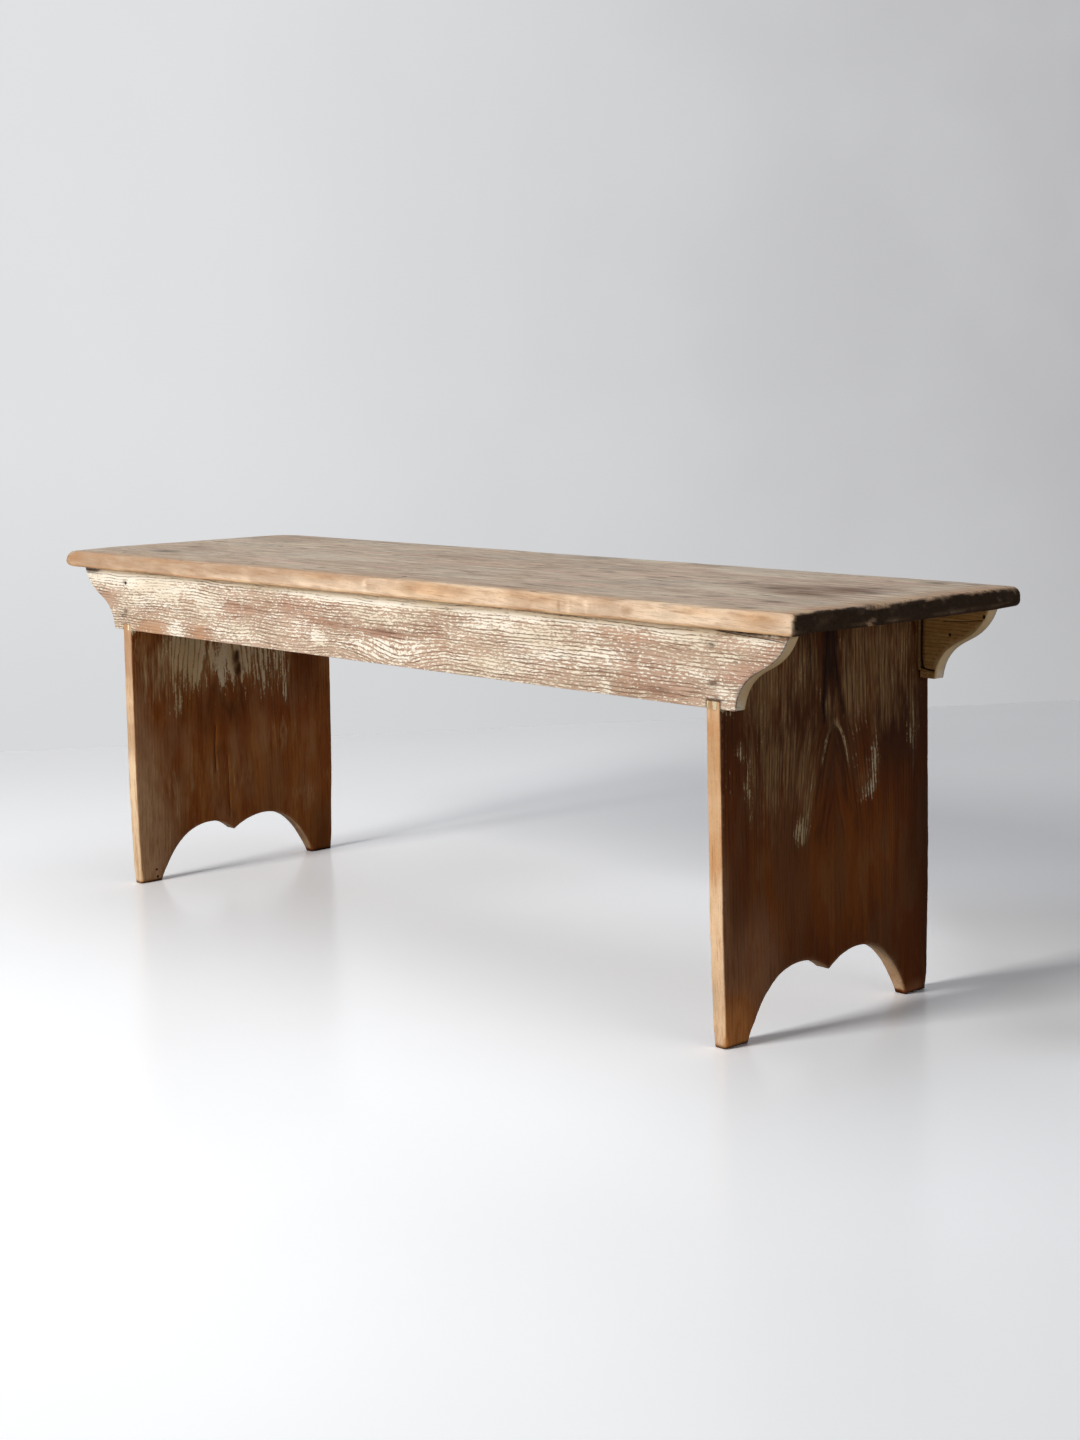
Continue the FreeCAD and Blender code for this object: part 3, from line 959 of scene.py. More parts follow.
class Apron(Board):
    """An apron board: its near side looks outwards, the front one's along -Y."""

    own_marks = ()
    near_arris = (0.9, 0.4, 40, 40, 23)
    near_wear = (0.2, 0.2, 120, 14, 43)
    # How far from the middle the board has passed the leg
    leg_passed = (571, 576)

    def __init__(self, node, nail_nodes, outwards):
        self.outwards = outwards
        low, high = cad_box(node)
        self.outer = high[1] if outwards > 0 else low[1]
        self.thickness = high[1] - low[1]
        self.outline = flat_edge(node, (0.0, outwards, 0.0))[:, (0, 2)]
        heads = [0.5 * (a + b)[[0, 2]] for nails in nail_nodes for a, b in islands(nails)]
        self.heads = tuple(self.nail_mark(middle) for middle in heads)
        self.near_marks = self.own_marks + self.heads

    def nail_mark(self, middle):
        return Hollow(middle, 3.4, 0.5, 0.5)

    def place(self, u, v, depth):
        return u, self.outer - self.outwards * depth, v

    def bite(self, u, v):
        lower = wave(u, v, 0.12, 0.25, 80, 80, 13)
        hidden = ramp(v, 432, 434.5)
        return np.clip(lower, 0.03, None) * (1.0 - hidden) + 0.02

    def bend(self, x, z):
        """How far the grain is bent up at each point."""
        return 5.0 * rough(x, z, 380, 90, 81)

    def looks(self, places, uvd, side, edge):
        x, y, z = places.T
        outer = side >= 0
        cut = edge * (side < 1)
        past_leg = ramp(np.abs(x), *self.leg_passed)
        rim = edge * (side == 1) * ramp(x, *self.leg_passed) * (z < HIDDEN_ABOVE)
        end_cut = past_leg * cut * (z < HIDDEN_ABOVE)
        bottom = cut * (1.0 - past_leg) * ramp(-z, -353.5, -352)
        soiled_and_shaded = self.soiled_and_shaded(x, z) + wave(x, z, 0.5, 0.4, 16, 16, 64) * rim
        # Painted shade: a warm tint in a strip under the seat's overhang on the outer face, and a yellow
        # tint over the inner faces' cream paint.
        yellowed = np.where(outer, 0.4 * ramp(z, 425.5, 429.5), 0.9)
        deep = self.outwards * (self.outer - y)
        paint = np.where(outer, self.paint(x, z), self.inner_paint(x, z))
        return {
            "grain": grain_of(x, z, deep, self.bend(x, z), self.pith_height, 18.0, 0.01),
            "tone": 0.7 * rough(x, z, 160, 40, 82),
            "warm": np.where(outer, self.warmth(x, z), 0.0),
            "bare_edge": unit(bottom * 0.7),
            "paint": paint + 2.0 * end_cut - 0.5 * bottom,
            "stain": unit(yellowed * (1.0 - end_cut) + 0.65 * end_cut),
            "paint_strength": np.where(outer, 1.0, 0.85),
            "dirt": unit(np.where(outer, soiled_and_shaded, self.inner_gap_shade(x, z))),
            "dust": np.where(outer, 0.0, 0.5 * (1.0 - end_cut)),
            "smooth": np.where(outer, 0.8 * end_cut, 0.7),
        }

    def inner_paint(self, x, z):
        return wave(x, z, 0.9, 0.25, 120, 30, 83)

    def inner_gap_shade(self, x, z):
        """Painted shade in the gaps where the legs stand against the inner side."""
        return 0.95 * unit(1.0 - np.abs(np.abs(x) - 554.5) / 4.6) * ramp(z, 358, 366)

    def warmth(self, x, z):
        return unit(0.35 * rough(x, z, 140, 40, 84))

    def soiled_and_shaded(self, x, z):
        """A dark smear at each nail."""
        smears = [np.zeros(len(x))]
        for head in self.heads:
            u, v = head.middle
            smears.append(0.7 * bell(x, z, u - 1.0, v + 1.0, 9.0, 5.0))
        return np.maximum.reduce(smears)


class FrontApron(Apron):
    near_grid = FINE_GRID
    own_marks = (Split(0.7, 1.2, (646, 424.5), (615, 427), (575, 429), (548, 431)),)
    pith_height = 262.0
    # The shallow notch in the bottom edge, which the leg's shoulder shows in
    leg_notch = ((534, 351), (534.5, 360.5), (553, 360.5), (553, 351))
    flaking = (
        (-560, 422, 150, 24, 0.8), (-440, 412, 130, 30, 0.7), (-590, 393, 40, 18, -0.55),
        (-520, 392, 60, 20, 0.3), (-485, 358, 62, 20, -0.65), (-425, 361, 32, 15, 0.5),
        (-368, 360, 40, 20, -0.6), (-395, 400, 36, 9, -0.5), (-350, 398, 55, 22, 0.35),
        (-270, 398, 75, 14, -0.45), (-290, 368, 90, 16, 0.28), (-160, 406, 110, 13, -0.42),
        (-90, 392, 70, 9, -0.5), (-112, 373, 26, 14, 0.55), (-10, 426, 240, 9, 1.3),
        (20, 370, 110, 22, 0.42), (15, 389, 90, 5, -0.9), (40, 410, 80, 16, 0.3),
        (150, 412, 60, 14, -0.12), (200, 412, 120, 20, 0.38), (300, 424, 200, 10, 0.35),
        (340, 388, 60, 18, 0.3), (210, 368, 130, 20, 0.25), (110, 395, 30, 30, -0.2),
        (290, 398, 80, 30, 0.32), (380, 392, 60, 24, 0.2), (389, 360, 12, 14, 0.55),
        (420, 414, 60, 12, -0.25), (505, 421, 60, 12, 0.6), (600, 424, 55, 9, 0.45),
        (470, 364, 90, 13, -0.35), (525, 388, 40, 16, 0.2), (562, 404, 26, 8, 0.4),
        (556, 370, 24, 12, 0.5), (590, 392, 40, 18, -0.35), (620, 408, 30, 12, -0.2),
    )
    warm_places = (
        (-485, 356, 80, 26, 0.8), (-366, 356, 46, 28, 0.7), (-400, 402, 40, 10, 0.5),
        (412, 415, 40, 8, 0.5), (150, 380, 90, 26, 0.35),
    )

    def nail_mark(self, middle):
        """The upper left nail shows as a small dark dot, the others are smeared over."""
        if middle[0] < 0.0 and middle[1] > 395.0:
            return Hollow(middle, 3.3, 0.9, 1.0)
        return Hollow(middle, 3.4, 0.5, 0.35)

    def bend(self, x, z):
        figure = 12.0 * bell(x, z, 48, 352, 95, 52) - 6.0 * bell(x, z, -75, 350, 70, 40)
        figure = figure - 0.4 * (z - 370.0) * bell(x, z, 15, 370, 100, 30)
        slant = -0.05 * (x + 480.0) * bell(x, z, -480, 405, 200, 60)
        return figure + slant + 3.5 * rough(x, z, 300, 70, 85) + 1.5 * rough(x, z, 42, 24, 61)

    def paint(self, x, z):
        strip = 0.7 * ramp(z, 423.5, 428) * (1.0 - 0.8 * ramp(x, 540, 570))
        return patched(x, z, self.flaking, 0.36) + strip + 0.14 * rough(x, z, 70, 24, 86)

    def warmth(self, x, z):
        return unit(patched(x, z, self.warm_places))

    def soiled_and_shaded(self, x, z):
        tip = unit(1.6 * bell(x, z, -628, 428.5, 36, 5.5))
        strip = 0.5 * bell(x, z, 20, 389.5, 60, 4)
        # Painted shade: a dark gap line under the seat's front edge at the right, and a thin dark band along
        # the top, under the seat.
        right = unit(1.8 * bell(x, z, 600, 431.5, 64, 4))
        top = 0.35 * ramp(z, 431.5, 433)
        low = 0.3 * bell(x, z, 470, 364, 34, 9)
        left_stain = bell(x, z, -550, 371, 13, 3.6)
        right_stain = 0.8 * bell(x, z, 546, 378, 10, 4.5)
        # Painted shade along the notch where the leg's shoulder meets the apron, heavier at the right leg.
        places = np.column_stack([np.abs(x), z])
        notch = np.where(x > 0.0, 0.9, 0.25) * unit(1.0 - off_line(places, self.leg_notch) / 1.8)
        nails = super().soiled_and_shaded(x, z)
        return np.maximum.reduce([nails, tip, strip, right, top, low, left_stain, right_stain, notch])


class BackApron(Apron):
    far_grid = PLAIN_GRID
    pith_height = 540.0
    far_marks = (
        Hollow((591.9, 401.4), 2.6, 3.0),
        Hollow((636.3, 423.9), 3.0, 3.0),
        Split(1.7, 2.5, (553, 363.4), (562, 361.4), (572.5, 360.6)),
        Split(2.6, 2.5, (553.5, 372), (556, 364)),
        Split(0.7, 0.8, (645, 421), (610, 417), (585, 416)),
        Split(2.3, 1.8, (555, 433), (554, 395), (554.5, 363)),
    )

    def paint(self, x, z):
        return wave(x, z, 0.45, 0.35, 180, 36, 87) + 0.3 * ramp(z, 418, 432)


class Leg(Board):
    """A leg board: its near side looks outwards, the right one's along +X."""

    far_grid = PLAIN_GRID
    near_wear = (0.25, 0.25, 40, 120, 44)
    far_wear = (0.25, 0.25, 40, 120, 54)
    pith_slope = 0.0

    def __init__(self, node, outwards):
        self.outwards = outwards
        edge = flat_edge(node, (outwards, 0.0, 0.0))
        inner = flat_edge(node, (-outwards, 0.0, 0.0))
        self.outline = edge[:, (1, 2)]
        self.slope, self.foot_x = np.polyfit(edge[:, 2], edge[:, 0], 1)
        self.thickness = abs(self.foot_x - np.polyfit(inner[:, 2], inner[:, 0], 1)[1])

    def place(self, u, v, depth):
        return self.foot_x + self.slope * v - self.outwards * depth, u, v

    def near_round(self, u, v):
        feet = 3.4 * ramp(-v, -24, -3)
        nicks = 1.6 * np.clip(rough(u, v, 9, 9, 28) - 0.35, 0.0, None)
        return wave(u, v, 1.4, 0.6, 40, 40, 24) + 0.6 * rough(u, v, 13, 13, 27) + nicks + feet

    def far_round(self, u, v):
        return wave(u, v, 1.4, 0.6, 40, 40, 34) + 2.6 * ramp(-v, -24, -3)

    def bite(self, u, v):
        worn = np.clip(wave(u, v, 0.35, 0.35, 70, 70, 14) + 0.3 * rough(u, v, 11, 11, 15), 0.05, None)
        return np.where((v < 0.5) | (v > HIDDEN_ABOVE), 0.0, worn)

    def looks(self, places, uvd, side, edge):
        x, y, z = places.T
        outer = side > 0
        seen = outer if self.outwards > 0 else ~outer
        cut = np.where(side == 0, 1.0, edge * edge)
        front_edge = ramp(-y, 155, 160) * cut
        rear_edge = ramp(y, 160, 166) * cut
        arches = cut * ramp(-z, -78, -66) * (np.abs(y) < 130.0)
        sole = ramp(-z, -5, -1)
        shoulder = ramp(z, 345, 353) * ramp(-y, 150, 158)
        low = ramp(-z, -150, -20)
        rubbed = np.where(seen, self.rubbed(y, z), 0.0)
        bare = unit(np.maximum.reduce([front_edge, 0.7 * rear_edge, 0.75 * arches, rubbed]))
        paint = np.where(outer, self.outer_paint(y, z), self.inner_paint(y, z)) + 1.76 * shoulder
        tone = 0.5 * rough(y, z, 60, 200, 91) + self.lightness(y, z) * (1.0 - bare)
        tone = tone + front_edge * (1.2 * ramp(-z, -330, -20) + self.edge_tone)
        tone = tone + 1.3 * bare * rough(y, z, 12, 40, 90) + 0.2 * arches + 2.2 * rubbed
        soiled_and_shaded = np.where(seen, self.soiled_and_shaded(y, z), 0.0)
        pith = (self.pith_y, self.pith_deep, self.pith_slope, self.pith_z)
        return {
            "grain": grain_of(z, y, uvd[:, 2], self.bend(y, z), *pith),
            "tone": tone,
            "stain": unit(0.8 * sole + self.yellowed * rubbed * (1.0 - front_edge)),
            "warm": unit(self.warmth(y, z)),
            "bare_edge": bare * wave(y, z, 0.9, 0.1, 30, 60, 92),
            "paint": paint - 1.5 * bare,
            "paint_strength": np.full(len(x), 0.92),
            "dirt": unit(0.75 * sole + 0.08 * low + 0.08 * arches + soiled_and_shaded),
            "dust": unit(np.where(seen, self.dusty(y, z), 0.0) * (1.0 - bare)),
            "smooth": 0.55 * ramp(-z, -250, -180),
        }

    def bend(self, y, z):
        return 4.0 * rough(y, z, 70, 260, 93)

    def lightness(self, y, z):
        return patched(y, z, self.pale_places, -0.1)

    def warmth(self, y, z):
        return 0.5 * bell(y, z, 110, 300, 70, 140) + 0.25 * rough(y, z, 60, 150, 94)

    def outer_paint(self, y, z):
        return -0.1 + 0.5 * ramp(z, 210, 340) + 0.25 * rough(y, z, 30, 110, 95)

    def inner_paint(self, y, z):
        return -0.3 + 0.85 * ramp(z, 240, 320) + 0.25 * rough(y, z, 26, 90, 96)


class RightLeg(Leg):
    """The right leg, whose outer face shows. Its grain parts below a knot, like an open pair of curtains."""

    near_grid = FINEST_GRID
    edge_tone = -0.4
    yellowed = 1.8
    pith_y = 13.0
    pith_deep = 34.0
    pith_z = 315.0
    near_marks = (
        Split(0.9, 0.6, (4, 428), (1, 395), (-3, 362), (-5, 330)),
        Split(0.7, 0.5, (12, 415), (14, 392), (18, 364)),
        Split(0.6, 0.4, (-24, 412), (-27, 385)),
    )
    # The dark lines on either side of the knot's core, at the top
    core_left = ((4, 432), (1, 395), (-4, 350), (-5, 322))
    core_right = ((12, 432), (14, 395), (19, 360), (27, 328))
    flaking = (
        (-85, 370, 30, 40, 0.3), (-40, 375, 20, 40, 0.3), (-95, 200, 12, 40, 0.4), (6, 375, 17, 80, -1.6),
        (-133, 305, 14, 24, 0.9), (-122, 268, 13, 44, 0.85), (-118, 228, 8, 34, 0.7),
        (-42, 208, 24, 36, 1.5), (-28, 240, 12, 50, 0.45), (45, 300, 30, 60, 0.2), (78, 268, 15, 44, 1.0),
        (66, 240, 28, 20, 0.9), (56, 228, 14, 14, 0.5), (145, 290, 12, 50, 0.5), (112, 300, 24, 60, -0.3),
        (-148, 345, 16, 14, 0.5),
    )
    rubbed_places = (
        (-150, -5, 56, 90, 1.3), (-115, 65, 60, 100, 0.3), (-158, 120, 12, 160, 0.2),
        (150, 4, 30, 16, 0.3),
    )
    dusty_places = (
        (-90, 375, 80, 70, 0.5), (-30, 385, 40, 60, 0.4), (75, 390, 110, 70, 0.5),
        (-60, 255, 70, 90, 0.3), (-105, 245, 40, 80, 0.25), (40, 340, 30, 60, 0.45),
        (4, 335, 14, 30, 0.5), (12, 315, 14, 11, 0.7), (-125, 290, 30, 60, 0.3), (-65, 300, 90, 80, 0.38),
        (95, 330, 70, 60, 0.32), (-30, 240, 24, 70, 0.35), (66, 255, 30, 50, 0.4),
        (145, 300, 20, 80, 0.25),
    )
    pale_places = (
        (20, 150, 80, 100, 1.2), (-100, 100, 50, 110, 1.0), (100, 190, 40, 80, 0.7),
        (-60, 200, 40, 80, -0.5), (-140, 50, 40, 90, 0.9), (150, 120, 40, 160, -1.4),
        (-140, 190, 30, 120, -0.9), (120, 60, 50, 60, -0.8),
    )

    def parting(self, z):
        """Half the width of the bare wood below the grain's peak."""
        return 1.9 * np.clip(self.pith_z - z, 0.0, 115.0) ** 0.6

    def peak(self):
        """The grain's peak as a line up one side and down the other."""
        heights = np.linspace(215.0, 315.0, 26)
        half = self.parting(heights)
        rising = np.column_stack([self.pith_y - half, heights])
        falling = np.column_stack([self.pith_y + half, heights])
        return np.concatenate([rising, falling[-2::-1]])

    def below_peak(self, y, z):
        """How far each point is outside the parted grain, and 1 where it is inside."""
        off = np.abs(y - self.pith_y) - self.parting(z)
        return off, ramp(-off, -1, 3) * ramp(-z, -318, -312)

    def bend(self, y, z):
        off = y - self.pith_y
        half = self.parting(z)
        pushed = half * np.exp(-np.clip(np.abs(off) - half, 0.0, None) / 32.0)
        return 0.6 * super().bend(y, z) * ramp(np.abs(off), 0, 40) - np.sign(off) * pushed

    def outer_paint(self, y, z):
        base = -0.3 + 0.1 * ramp(z, 235, 350)
        lower = 0.7 * ramp(-z, -260, -170)
        off, bare = self.below_peak(y, z)
        away = off_line(np.column_stack([y, z]), self.peak())
        rim = unit(1.3 - np.abs(away - 3.5) / 4.5) * ((off > 0.0) | (z > self.pith_z))
        rim = rim * wave(y, z, 1.0, 0.45, 5, 9, 63)
        rim = rim * (0.3 * ramp(z, 215, 250) + 0.8 * ramp(z, 262, 288)) * np.where(y < 11.0, 1.05, 0.4)
        fine = 0.16 * rough(y, z, 22, 110, 97)
        return patched(y, z, self.flaking) + base - lower - 1.6 * bare + rim + fine

    def rubbed(self, y, z):
        """The foot at the front is rubbed paler."""
        return np.clip(patched(y, z, self.rubbed_places), 0.0, 0.9)

    def soiled_and_shaded(self, y, z):
        waved = y + 2.5 * rough(y, z, 60, 16, 66)
        places = np.column_stack([waved, z])
        core = np.clip(1.8 * bell(waved, z, 6, 405, 15, 60), 0.0, 0.75)
        left = np.clip(1.5 - off_line(places, self.core_left) / 3.0, 0.0, 0.85)
        right = np.clip(1.4 - off_line(places, self.core_right) / 2.5, 0.0, 0.75)
        faint = 0.5 * bell(waved, z, -26, 395, 7, 60) + 0.4 * bell(waved, z, 34, 385, 6, 60)
        shade = 0.35 * bell(y, z, 150, 230, 30, 260) + 0.4 * ramp(y, 150, 168)
        return np.maximum.reduce([core, left, right, faint, shade])

    def dusty(self, y, z):
        """The thin worn coat that veils the upper half."""
        covered = patched(y, z, self.dusty_places, -0.07) + 0.16 * ramp(z, 270, 350)
        covered = covered + 0.2 * rough(y, z, 12, 60, 65)
        return covered * (1.0 - self.below_peak(y, z)[1])

    def warmth(self, y, z):
        upper = 0.75 * ramp(z, 235, 330)
        return upper + 0.6 * bell(y, z, 110, 290, 60, 120) + 0.3 * rough(y, z, 50, 130, 94)


class LeftLeg(Leg):
    """The left leg, whose inner face shows. A knot sits high in its middle."""

    far_grid = FINE_GRID
    edge_tone = -0.8
    yellowed = 0.5
    pith_y = -20.0
    pith_deep = 40.0
    pith_slope = 0.06
    pith_z = 60.0
    far_marks = (
        Hollow((-133.8, 16.5), 2.3, 3.0),
        Hollow((-132.6, 6.4), 2.3, 3.0),
        Split(0.9, 0.8, (-31, 205), (-33, 170), (-32, 140)),
        Split(0.6, 0.5, (-12, 160), (-11, 110), (-10, 72)),
    )
    flaking = (
        (-70, 315, 60, 85, 0.8), (-92, 245, 16, 45, 0.75), (-60, 275, 16, 40, 0.45),
        (-21, 262, 12, 60, 0.8), (12, 295, 50, 75, 0.85), (50, 265, 16, 85, 0.75), (75, 290, 34, 80, 0.6),
        (88, 240, 9, 55, 0.6), (8, 300, 7, 14, -1.9), (11, 283, 6, 18, -1.9), (-140, 310, 40, 90, -0.7),
        (135, 300, 40, 100, -0.7),
    )
    # Low at the front, the rubbed patches and the low dusty patches are worn, dusty wood made paler as
    # painted light.
    rubbed_places = ((-152, 40, 58, 150, 1.05), (-152, 170, 46, 130, 0.4))
    dusty_places = (
        (-145, 60, 64, 170, 0.3), (-110, 110, 60, 100, 0.2), (85, 180, 60, 50, 0.2),
        (115, 90, 50, 60, 0.2), (-65, 310, 75, 80, 0.55), (20, 300, 60, 80, 0.5), (80, 290, 40, 90, 0.4),
        (-140, 160, 50, 90, 0.25), (-130, 300, 60, 90, 0.4), (-20, 130, 120, 90, 0.16),
    )
    pale_places = ((-140, 70, 50, 140, 0.6), (20, 130, 120, 80, 0.5), (90, 180, 40, 40, 0.6))

    def inner_paint(self, y, z):
        base = -0.2 + 0.4 * ramp(z, 255, 320) - 0.8 * ramp(-z, -240, -200)
        return patched(y, z, self.flaking) + base + 0.14 * rough(y, z, 18, 90, 98)

    def rubbed(self, y, z):
        """The inner face is paler and smoother low down at the front: worn wood, made paler still as painted
        light.
        """
        return np.clip(patched(y, z, self.rubbed_places) + 0.2 * rough(y, z, 26, 60, 62), 0.0, 0.95)

    def dusty(self, y, z):
        return patched(y, z, self.dusty_places)

    def soiled_and_shaded(self, y, z):
        knot = 1.3 * np.maximum(bell(y, z, 8, 300, 7, 16), bell(y, z, 11, 283, 6, 18))
        shade = np.maximum(0.3 * bell(y, z, 140, 300, 50, 120), 0.25 * bell(y, z, -10, 235, 130, 50))
        foot = 0.4 * bell(y, z, 150, 20, 30, 90)
        return unit(np.maximum.reduce([knot, shade, foot]))


# Nails


def nail_points(low, high, drive, random):
    """One cut nail from its box: a hammered head and a tapered shank. drive is the way it points."""
    axis = int(np.argmax(np.abs(drive)))
    flat = [a for a in range(3) if a != axis]
    middle = 0.5 * (low + high)
    top = (high[axis] if drive[axis] < 0 else low[axis]) + drive[axis] * NAIL_SET
    length = high[axis] - low[axis] - NAIL_SET
    half = 0.5 * (high - low)[flat]
    points = []

    def add_point(depth, reach=0.0, turn=0.0):
        point = middle.copy()
        point[flat] += half * reach * (math.cos(turn), math.sin(turn))
        point[axis] = top + math.copysign(depth, drive[axis])
        points.append(point)

    # How deep each ring of points is, and its share of the head's width
    rings = ((0.0, 0.5), (0.0, 0.82), (0.35, 0.97), (0.9, 1.0), (1.6, 0.95), (1.7, 0.56),
             (length * 0.6, 0.42), (length, 0.28))
    for depth, size in rings:
        for step in range(NAIL_SIDES):
            turn = 2 * math.pi * step / NAIL_SIDES
            square = 1.0 / max(abs(math.cos(turn)), abs(math.sin(turn)))
            reach = size * (0.35 + 0.65 * min(square, 1.22))
            dent = random.uniform(0.0, NAIL_DENT) if depth < 0.5 else 0.0
            add_point(depth + dent, reach, turn)
    add_point(0.05)
    add_point(length)
    crown = len(rings) * NAIL_SIDES
    last = crown - NAIL_SIDES
    faces = []
    for row in range(0, last, NAIL_SIDES):
        for step in range(NAIL_SIDES):
            ahead = (step + 1) % NAIL_SIDES
            below = row + NAIL_SIDES
            faces.append((row + step, row + ahead, below + ahead, below + step))
    for step in range(NAIL_SIDES):
        ahead = (step + 1) % NAIL_SIDES
        faces.append((step, crown, ahead))
        faces.append((last + step, last + ahead, crown + 1))
    return np.array(points), faces


def make_nails(node, drive, material, random):
    """All the nails of one node as one piece."""
    places = []
    faces = []
    for low, high in islands(node):
        points, quads = nail_points(low, high, np.array(drive), random)
        start = sum(len(p) for p in places)
        places.append(points)
        faces += [tuple(start + i for i in face) for face in quads]
    piece = new_piece(node + "_worn", np.concatenate(places), faces, material, {})
    turn_outwards(piece.data)
    stand_in(piece, node)


def turn_outwards(mesh):
    """Makes every face of a closed mesh look outwards."""
    work = bmesh.new()
    work.from_mesh(mesh)
    bmesh.ops.recalc_face_normals(work, faces=work.faces)
    work.to_mesh(mesh)
    work.free()


# The stage, the lights and the camera


def grey(level, warmth=0.0):
    """A linear grey, a little warmer in its reds than in its blues."""
    return (level, level - warmth, level - 2.0 * warmth, 1.0)


def floor_material():
    """A pale, slightly glossy floor. What the camera sees of it is brighter than what lights the bench,
    graded as painted light falloff and darkened with painted shadows of the bench.
    """
    s = Shade(bpy.data.materials.new("pale_floor"))
    place = s.node("TexCoord", {}, "Object")
    cloudy = s.noise(place, (0.6, 0.6, 0.6), 3.0)
    seen = s.node("LightPath", {}, "Is Camera Ray")
    away = s.distance(place, (-0.74, 0.67, 0.0))
    across = s.distance(place, (0.67, 0.74, 0.0))
    # Painted light falloff: the floor colour the camera sees is brightest in front of the bench and dimmer
    # near the camera, to the right and on the left.
    pale = s.mix(s.between(away, -1.9, -0.5), (1.19, 1.225, 1.28, 1.0), (1.5, 1.56, 1.65, 1.0))
    pale = s.mix(s.between(away, -0.2, 1.4), pale, (1.46, 1.48, 1.52, 1.0))
    pale = s.mix(s.between(across, 0.05, 0.6, 0.0, 0.22), pale, grey(0.8, 0.01))
    # Painted shadows of the bench: between its legs, and to the right of its right leg.
    middle = s.times(s.between(away, 0.1, 0.4), s.between(away, 1.1, 0.6), s.between(across, -0.25, 0.05))
    shadow = s.times(s.between(across, 0.46, 0.62), s.between(away, -0.62, -0.45))
    shadow = s.times(shadow, s.between(away, 0.35, 0.0))
    pale = s.mix(s.add(s.times(middle, 0.28), s.times(shadow, 0.6)), pale, grey(0.8, 0.01))
    left = s.times(s.between(across, -0.1, -0.5), s.between(away, 0.9, 0.2))
    pale = s.mix(s.times(left, 0.19), pale, grey(0.8))
    pale = s.mix(s.between(cloudy, 0.3, 0.7, 0.0, 0.05), pale, grey(0.8))
    base = s.mix(seen, colour(180, 178, 175), pale)
    shader = s.node("BsdfPrincipled", {"Base Color": base, "Roughness": 0.2, "Specular IOR Level": 0.1})
    beside = s.less(s.math("ABSOLUTE", across), 0.75)
    gone = s.between(s.math("MAXIMUM", s.times(away, -1.0), beside), 1.75, 2.9)
    both = s.node("MixShader", {0: s.times(gone, seen), 1: shader, 2: s.node("BsdfTransparent", {})})
    s.node("OutputMaterial", {0: both})
    return s.owner


def wall_line():
    """The wall's foot at its left and right, and the direction along it."""
    left = np.array(WALL_FOOT_LEFT)
    right = np.array(WALL_FOOT_RIGHT)
    return left, right, (right - left) / np.linalg.norm(right - left)


def wall_material():
    """A plain glowing wall that only the camera and reflections see, and only from its front. Its glow dims
    along its length as painted light falloff, and it is darker near its foot.
    """
    s = Shade(bpy.data.materials.new("pale_wall"))
    place = s.node("TexCoord", {}, "Object")
    left, _, along = wall_line()
    start = float(np.dot(along, left)) * MM
    run = s.distance(place, (float(along[0]), float(along[1]), 0.0))
    cloudy = s.noise(place, (0.5, 0.5, 0.5), 3.0)
    height = s.node("SeparateXYZ", {0: place}, "Z")
    # Painted light falloff: the wall dims along its length, and it is darker near its foot.
    base = s.mix(s.between(run, start, start + WALL_FADE), colour(224, 225, 227), colour(180, 180, 182))
    base = s.mix(s.between(cloudy, 0.3, 0.7, 0.0, 0.12), base, colour(236, 237, 239))
    base = s.mix(s.between(height, 0.0, 0.6, 0.35, 0.0), base, colour(198, 199, 199))
    shown = s.node("Emission", {"Color": base, "Strength": 1.0})
    behind = s.node("NewGeometry", {}, "Backfacing")
    both = s.node("MixShader", {0: behind, 1: shown, 2: s.node("BsdfTransparent", {})})
    s.node("OutputMaterial", {0: both})
    return s.owner


def make_plane(name, corners, material):
    plane = new_piece(name, np.array(corners), [(0, 1, 2, 3)], material, {})
    plane.data.shade_flat()
    return plane


def make_stage():
    turns = ((-1, -1), (1, -1), (1, 1), (-1, 1))
    make_plane("floor", [(x * FLOOR_REACH, y * FLOOR_REACH, 0.0) for x, y in turns], floor_material())
    left, right, along = wall_line()
    left = left - along * WALL_PAST_LEFT
    right = right + along * WALL_PAST_RIGHT
    corners = ((*right, WALL_HEIGHT), (*left, WALL_HEIGHT), (*left, 0.0), (*right, 0.0))
    wall = make_plane("wall", corners, wall_material())
    wall.visible_shadow = False
    wall.visible_diffuse = False


def make_world():
    """A dim even room light. The camera sees the pale backdrop instead."""
    s = Shade(bpy.data.worlds.new("room"))
    lit = s.node("Background", {"Color": colour(250, 251, 255), "Strength": ROOM_LIGHT})
    backdrop = s.node("Background", {"Color": colour(206, 207, 209), "Strength": 1.0})
    seen = s.node("LightPath", {}, "Is Camera Ray")
    s.node("OutputWorld", {0: s.node("MixShader", {0: seen, 1: lit, 2: backdrop})})
    bpy.context.scene.world = s.owner


def make_lamp(name, place, target, width, height, power, tint):
    data = bpy.data.lights.new(name, "AREA")
    data.shape = "RECTANGLE"
    data.size = width * MM
    data.size_y = height * MM
    data.energy = power
    data.color = colour(*tint)[:3]
    lamp = bpy.data.objects.new(name, data)
    bpy.context.scene.collection.objects.link(lamp)
    lamp.location = Vector(place) * MM
    aim = (Vector(target) - Vector(place)).normalized()
    lamp.rotation_mode = "QUATERNION"
    lamp.rotation_quaternion = aim.to_track_quat("-Z", "Y")
    lamp.visible_camera = False
    lamp.visible_glossy = name != "window"


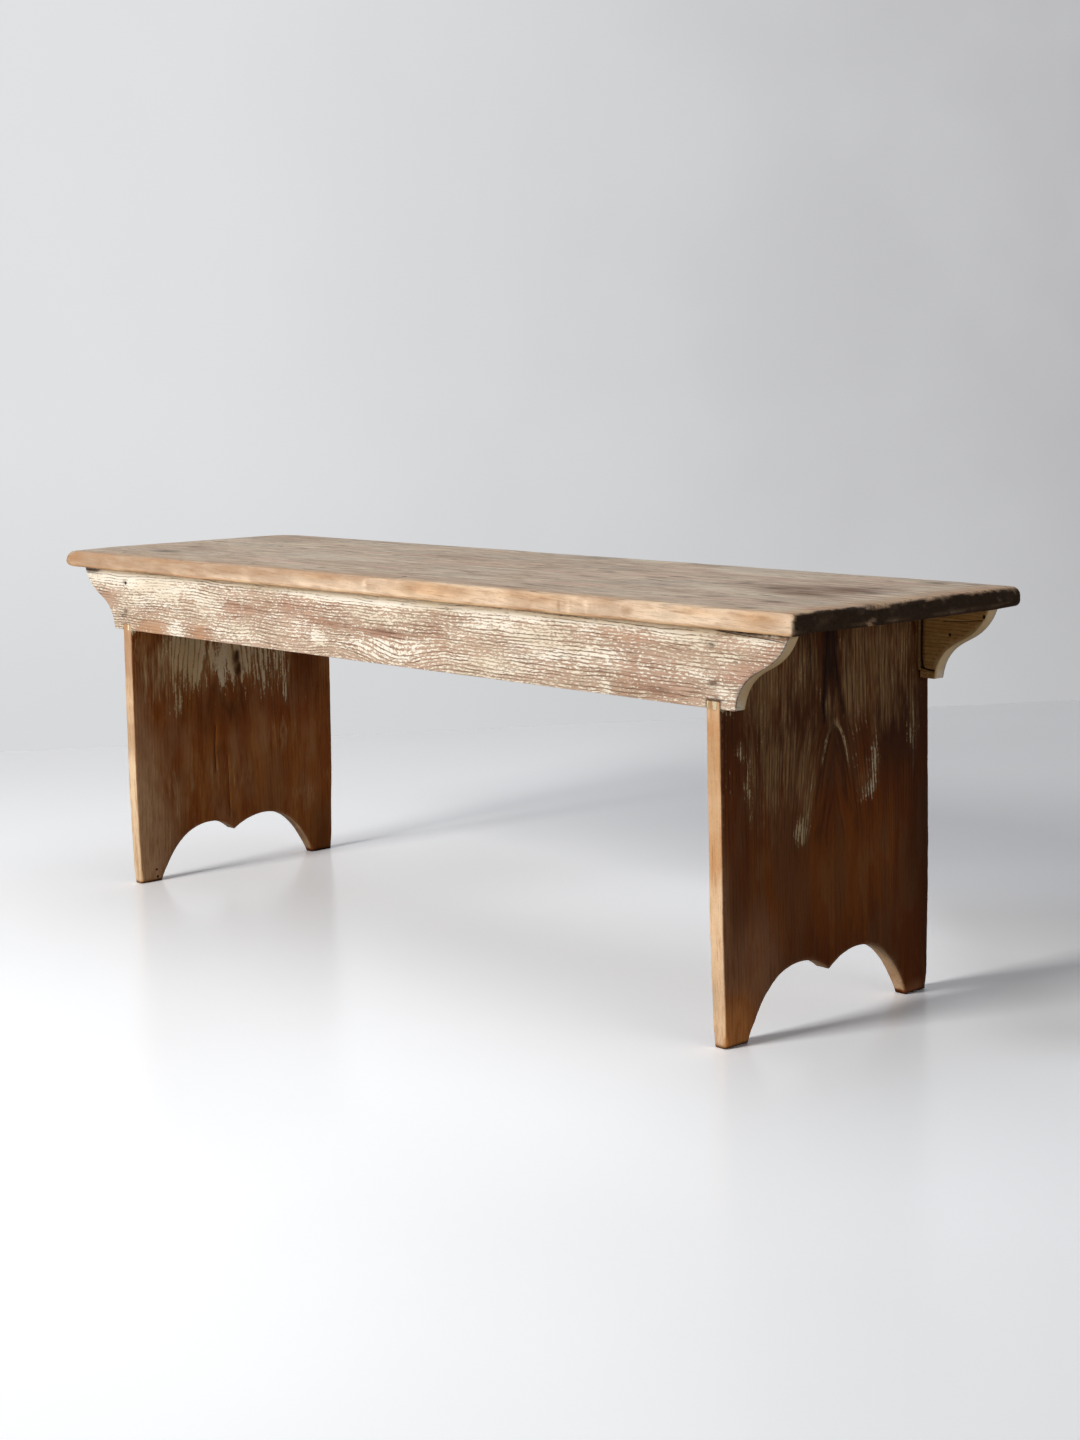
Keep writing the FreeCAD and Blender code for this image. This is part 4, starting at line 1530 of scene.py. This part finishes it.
def make_camera():
    turn, tip, roll = CAMERA_YAW, CAMERA_PITCH, CAMERA_ROLL
    forward = Vector((-math.sin(turn) * math.cos(tip), math.cos(turn) * math.cos(tip), math.sin(tip)))
    level = Vector((math.cos(turn), math.sin(turn), 0.0))
    upward = level.cross(forward)
    across = level * math.cos(roll) + upward * math.sin(roll)
    up = upward * math.cos(roll) - level * math.sin(roll)
    data = bpy.data.cameras.new("camera")
    data.sensor_fit = "AUTO"
    data.sensor_width = 36.0
    data.lens = CAMERA_LENS
    data.clip_start = 0.05
    data.clip_end = 60.0
    camera = bpy.data.objects.new("camera", data)
    bpy.context.scene.collection.objects.link(camera)
    axes = Matrix((across, up, -forward)).transposed().to_4x4()
    camera.matrix_world = Matrix.Translation(Vector(CAMERA_PLACE) * MM) @ axes
    bpy.context.scene.camera = camera


def make_bench():
    seat_wood = old_board("seat_wood", SEAT_LOOK)
    apron_wood = old_board("painted_apron_wood", APRON_LOOK)
    left_wood = old_board("left_leg_wood", LEFT_LEG_LOOK)
    # The right leg gets the darkened copy of the leg wood, as painted shade.
    right_shaded_wood = old_board("right_leg_wood_shaded", RIGHT_LEG_SHADED_LOOK)
    Seat().build("seat_plank", "seat_board", seat_wood, "seat_wood")
    RightLeg("right_leg", 1.0).build("right_leg_board", "right_leg", right_shaded_wood, "leg_wood")
    LeftLeg("left_leg", -1.0).build("left_leg_board", "left_leg", left_wood, "leg_wood")
    front = FrontApron("front_apron", FRONT_NAILS, -1.0)
    front.build("front_apron_board", "front_apron", apron_wood, "painted_apron_wood")
    back = BackApron("back_apron", BACK_NAILS, 1.0)
    back.build("back_apron_board", "back_apron", apron_wood, "painted_apron_wood")
    random = np.random.default_rng(7)
    metal = iron()
    downwards, backwards, forwards = (0.0, 0.0, -1.0), (0.0, 1.0, 0.0), (0.0, -1.0, 0.0)
    for nodes, drive in ((SEAT_NAILS, downwards), (FRONT_NAILS, backwards), (BACK_NAILS, forwards)):
        for node in nodes:
            make_nails(node, drive, metal, random)


make_bench()
make_stage()
make_world()
for lamp_values in LAMPS:
    make_lamp(*lamp_values)
make_camera()
bpy.context.scene.view_settings.view_transform = "Standard"
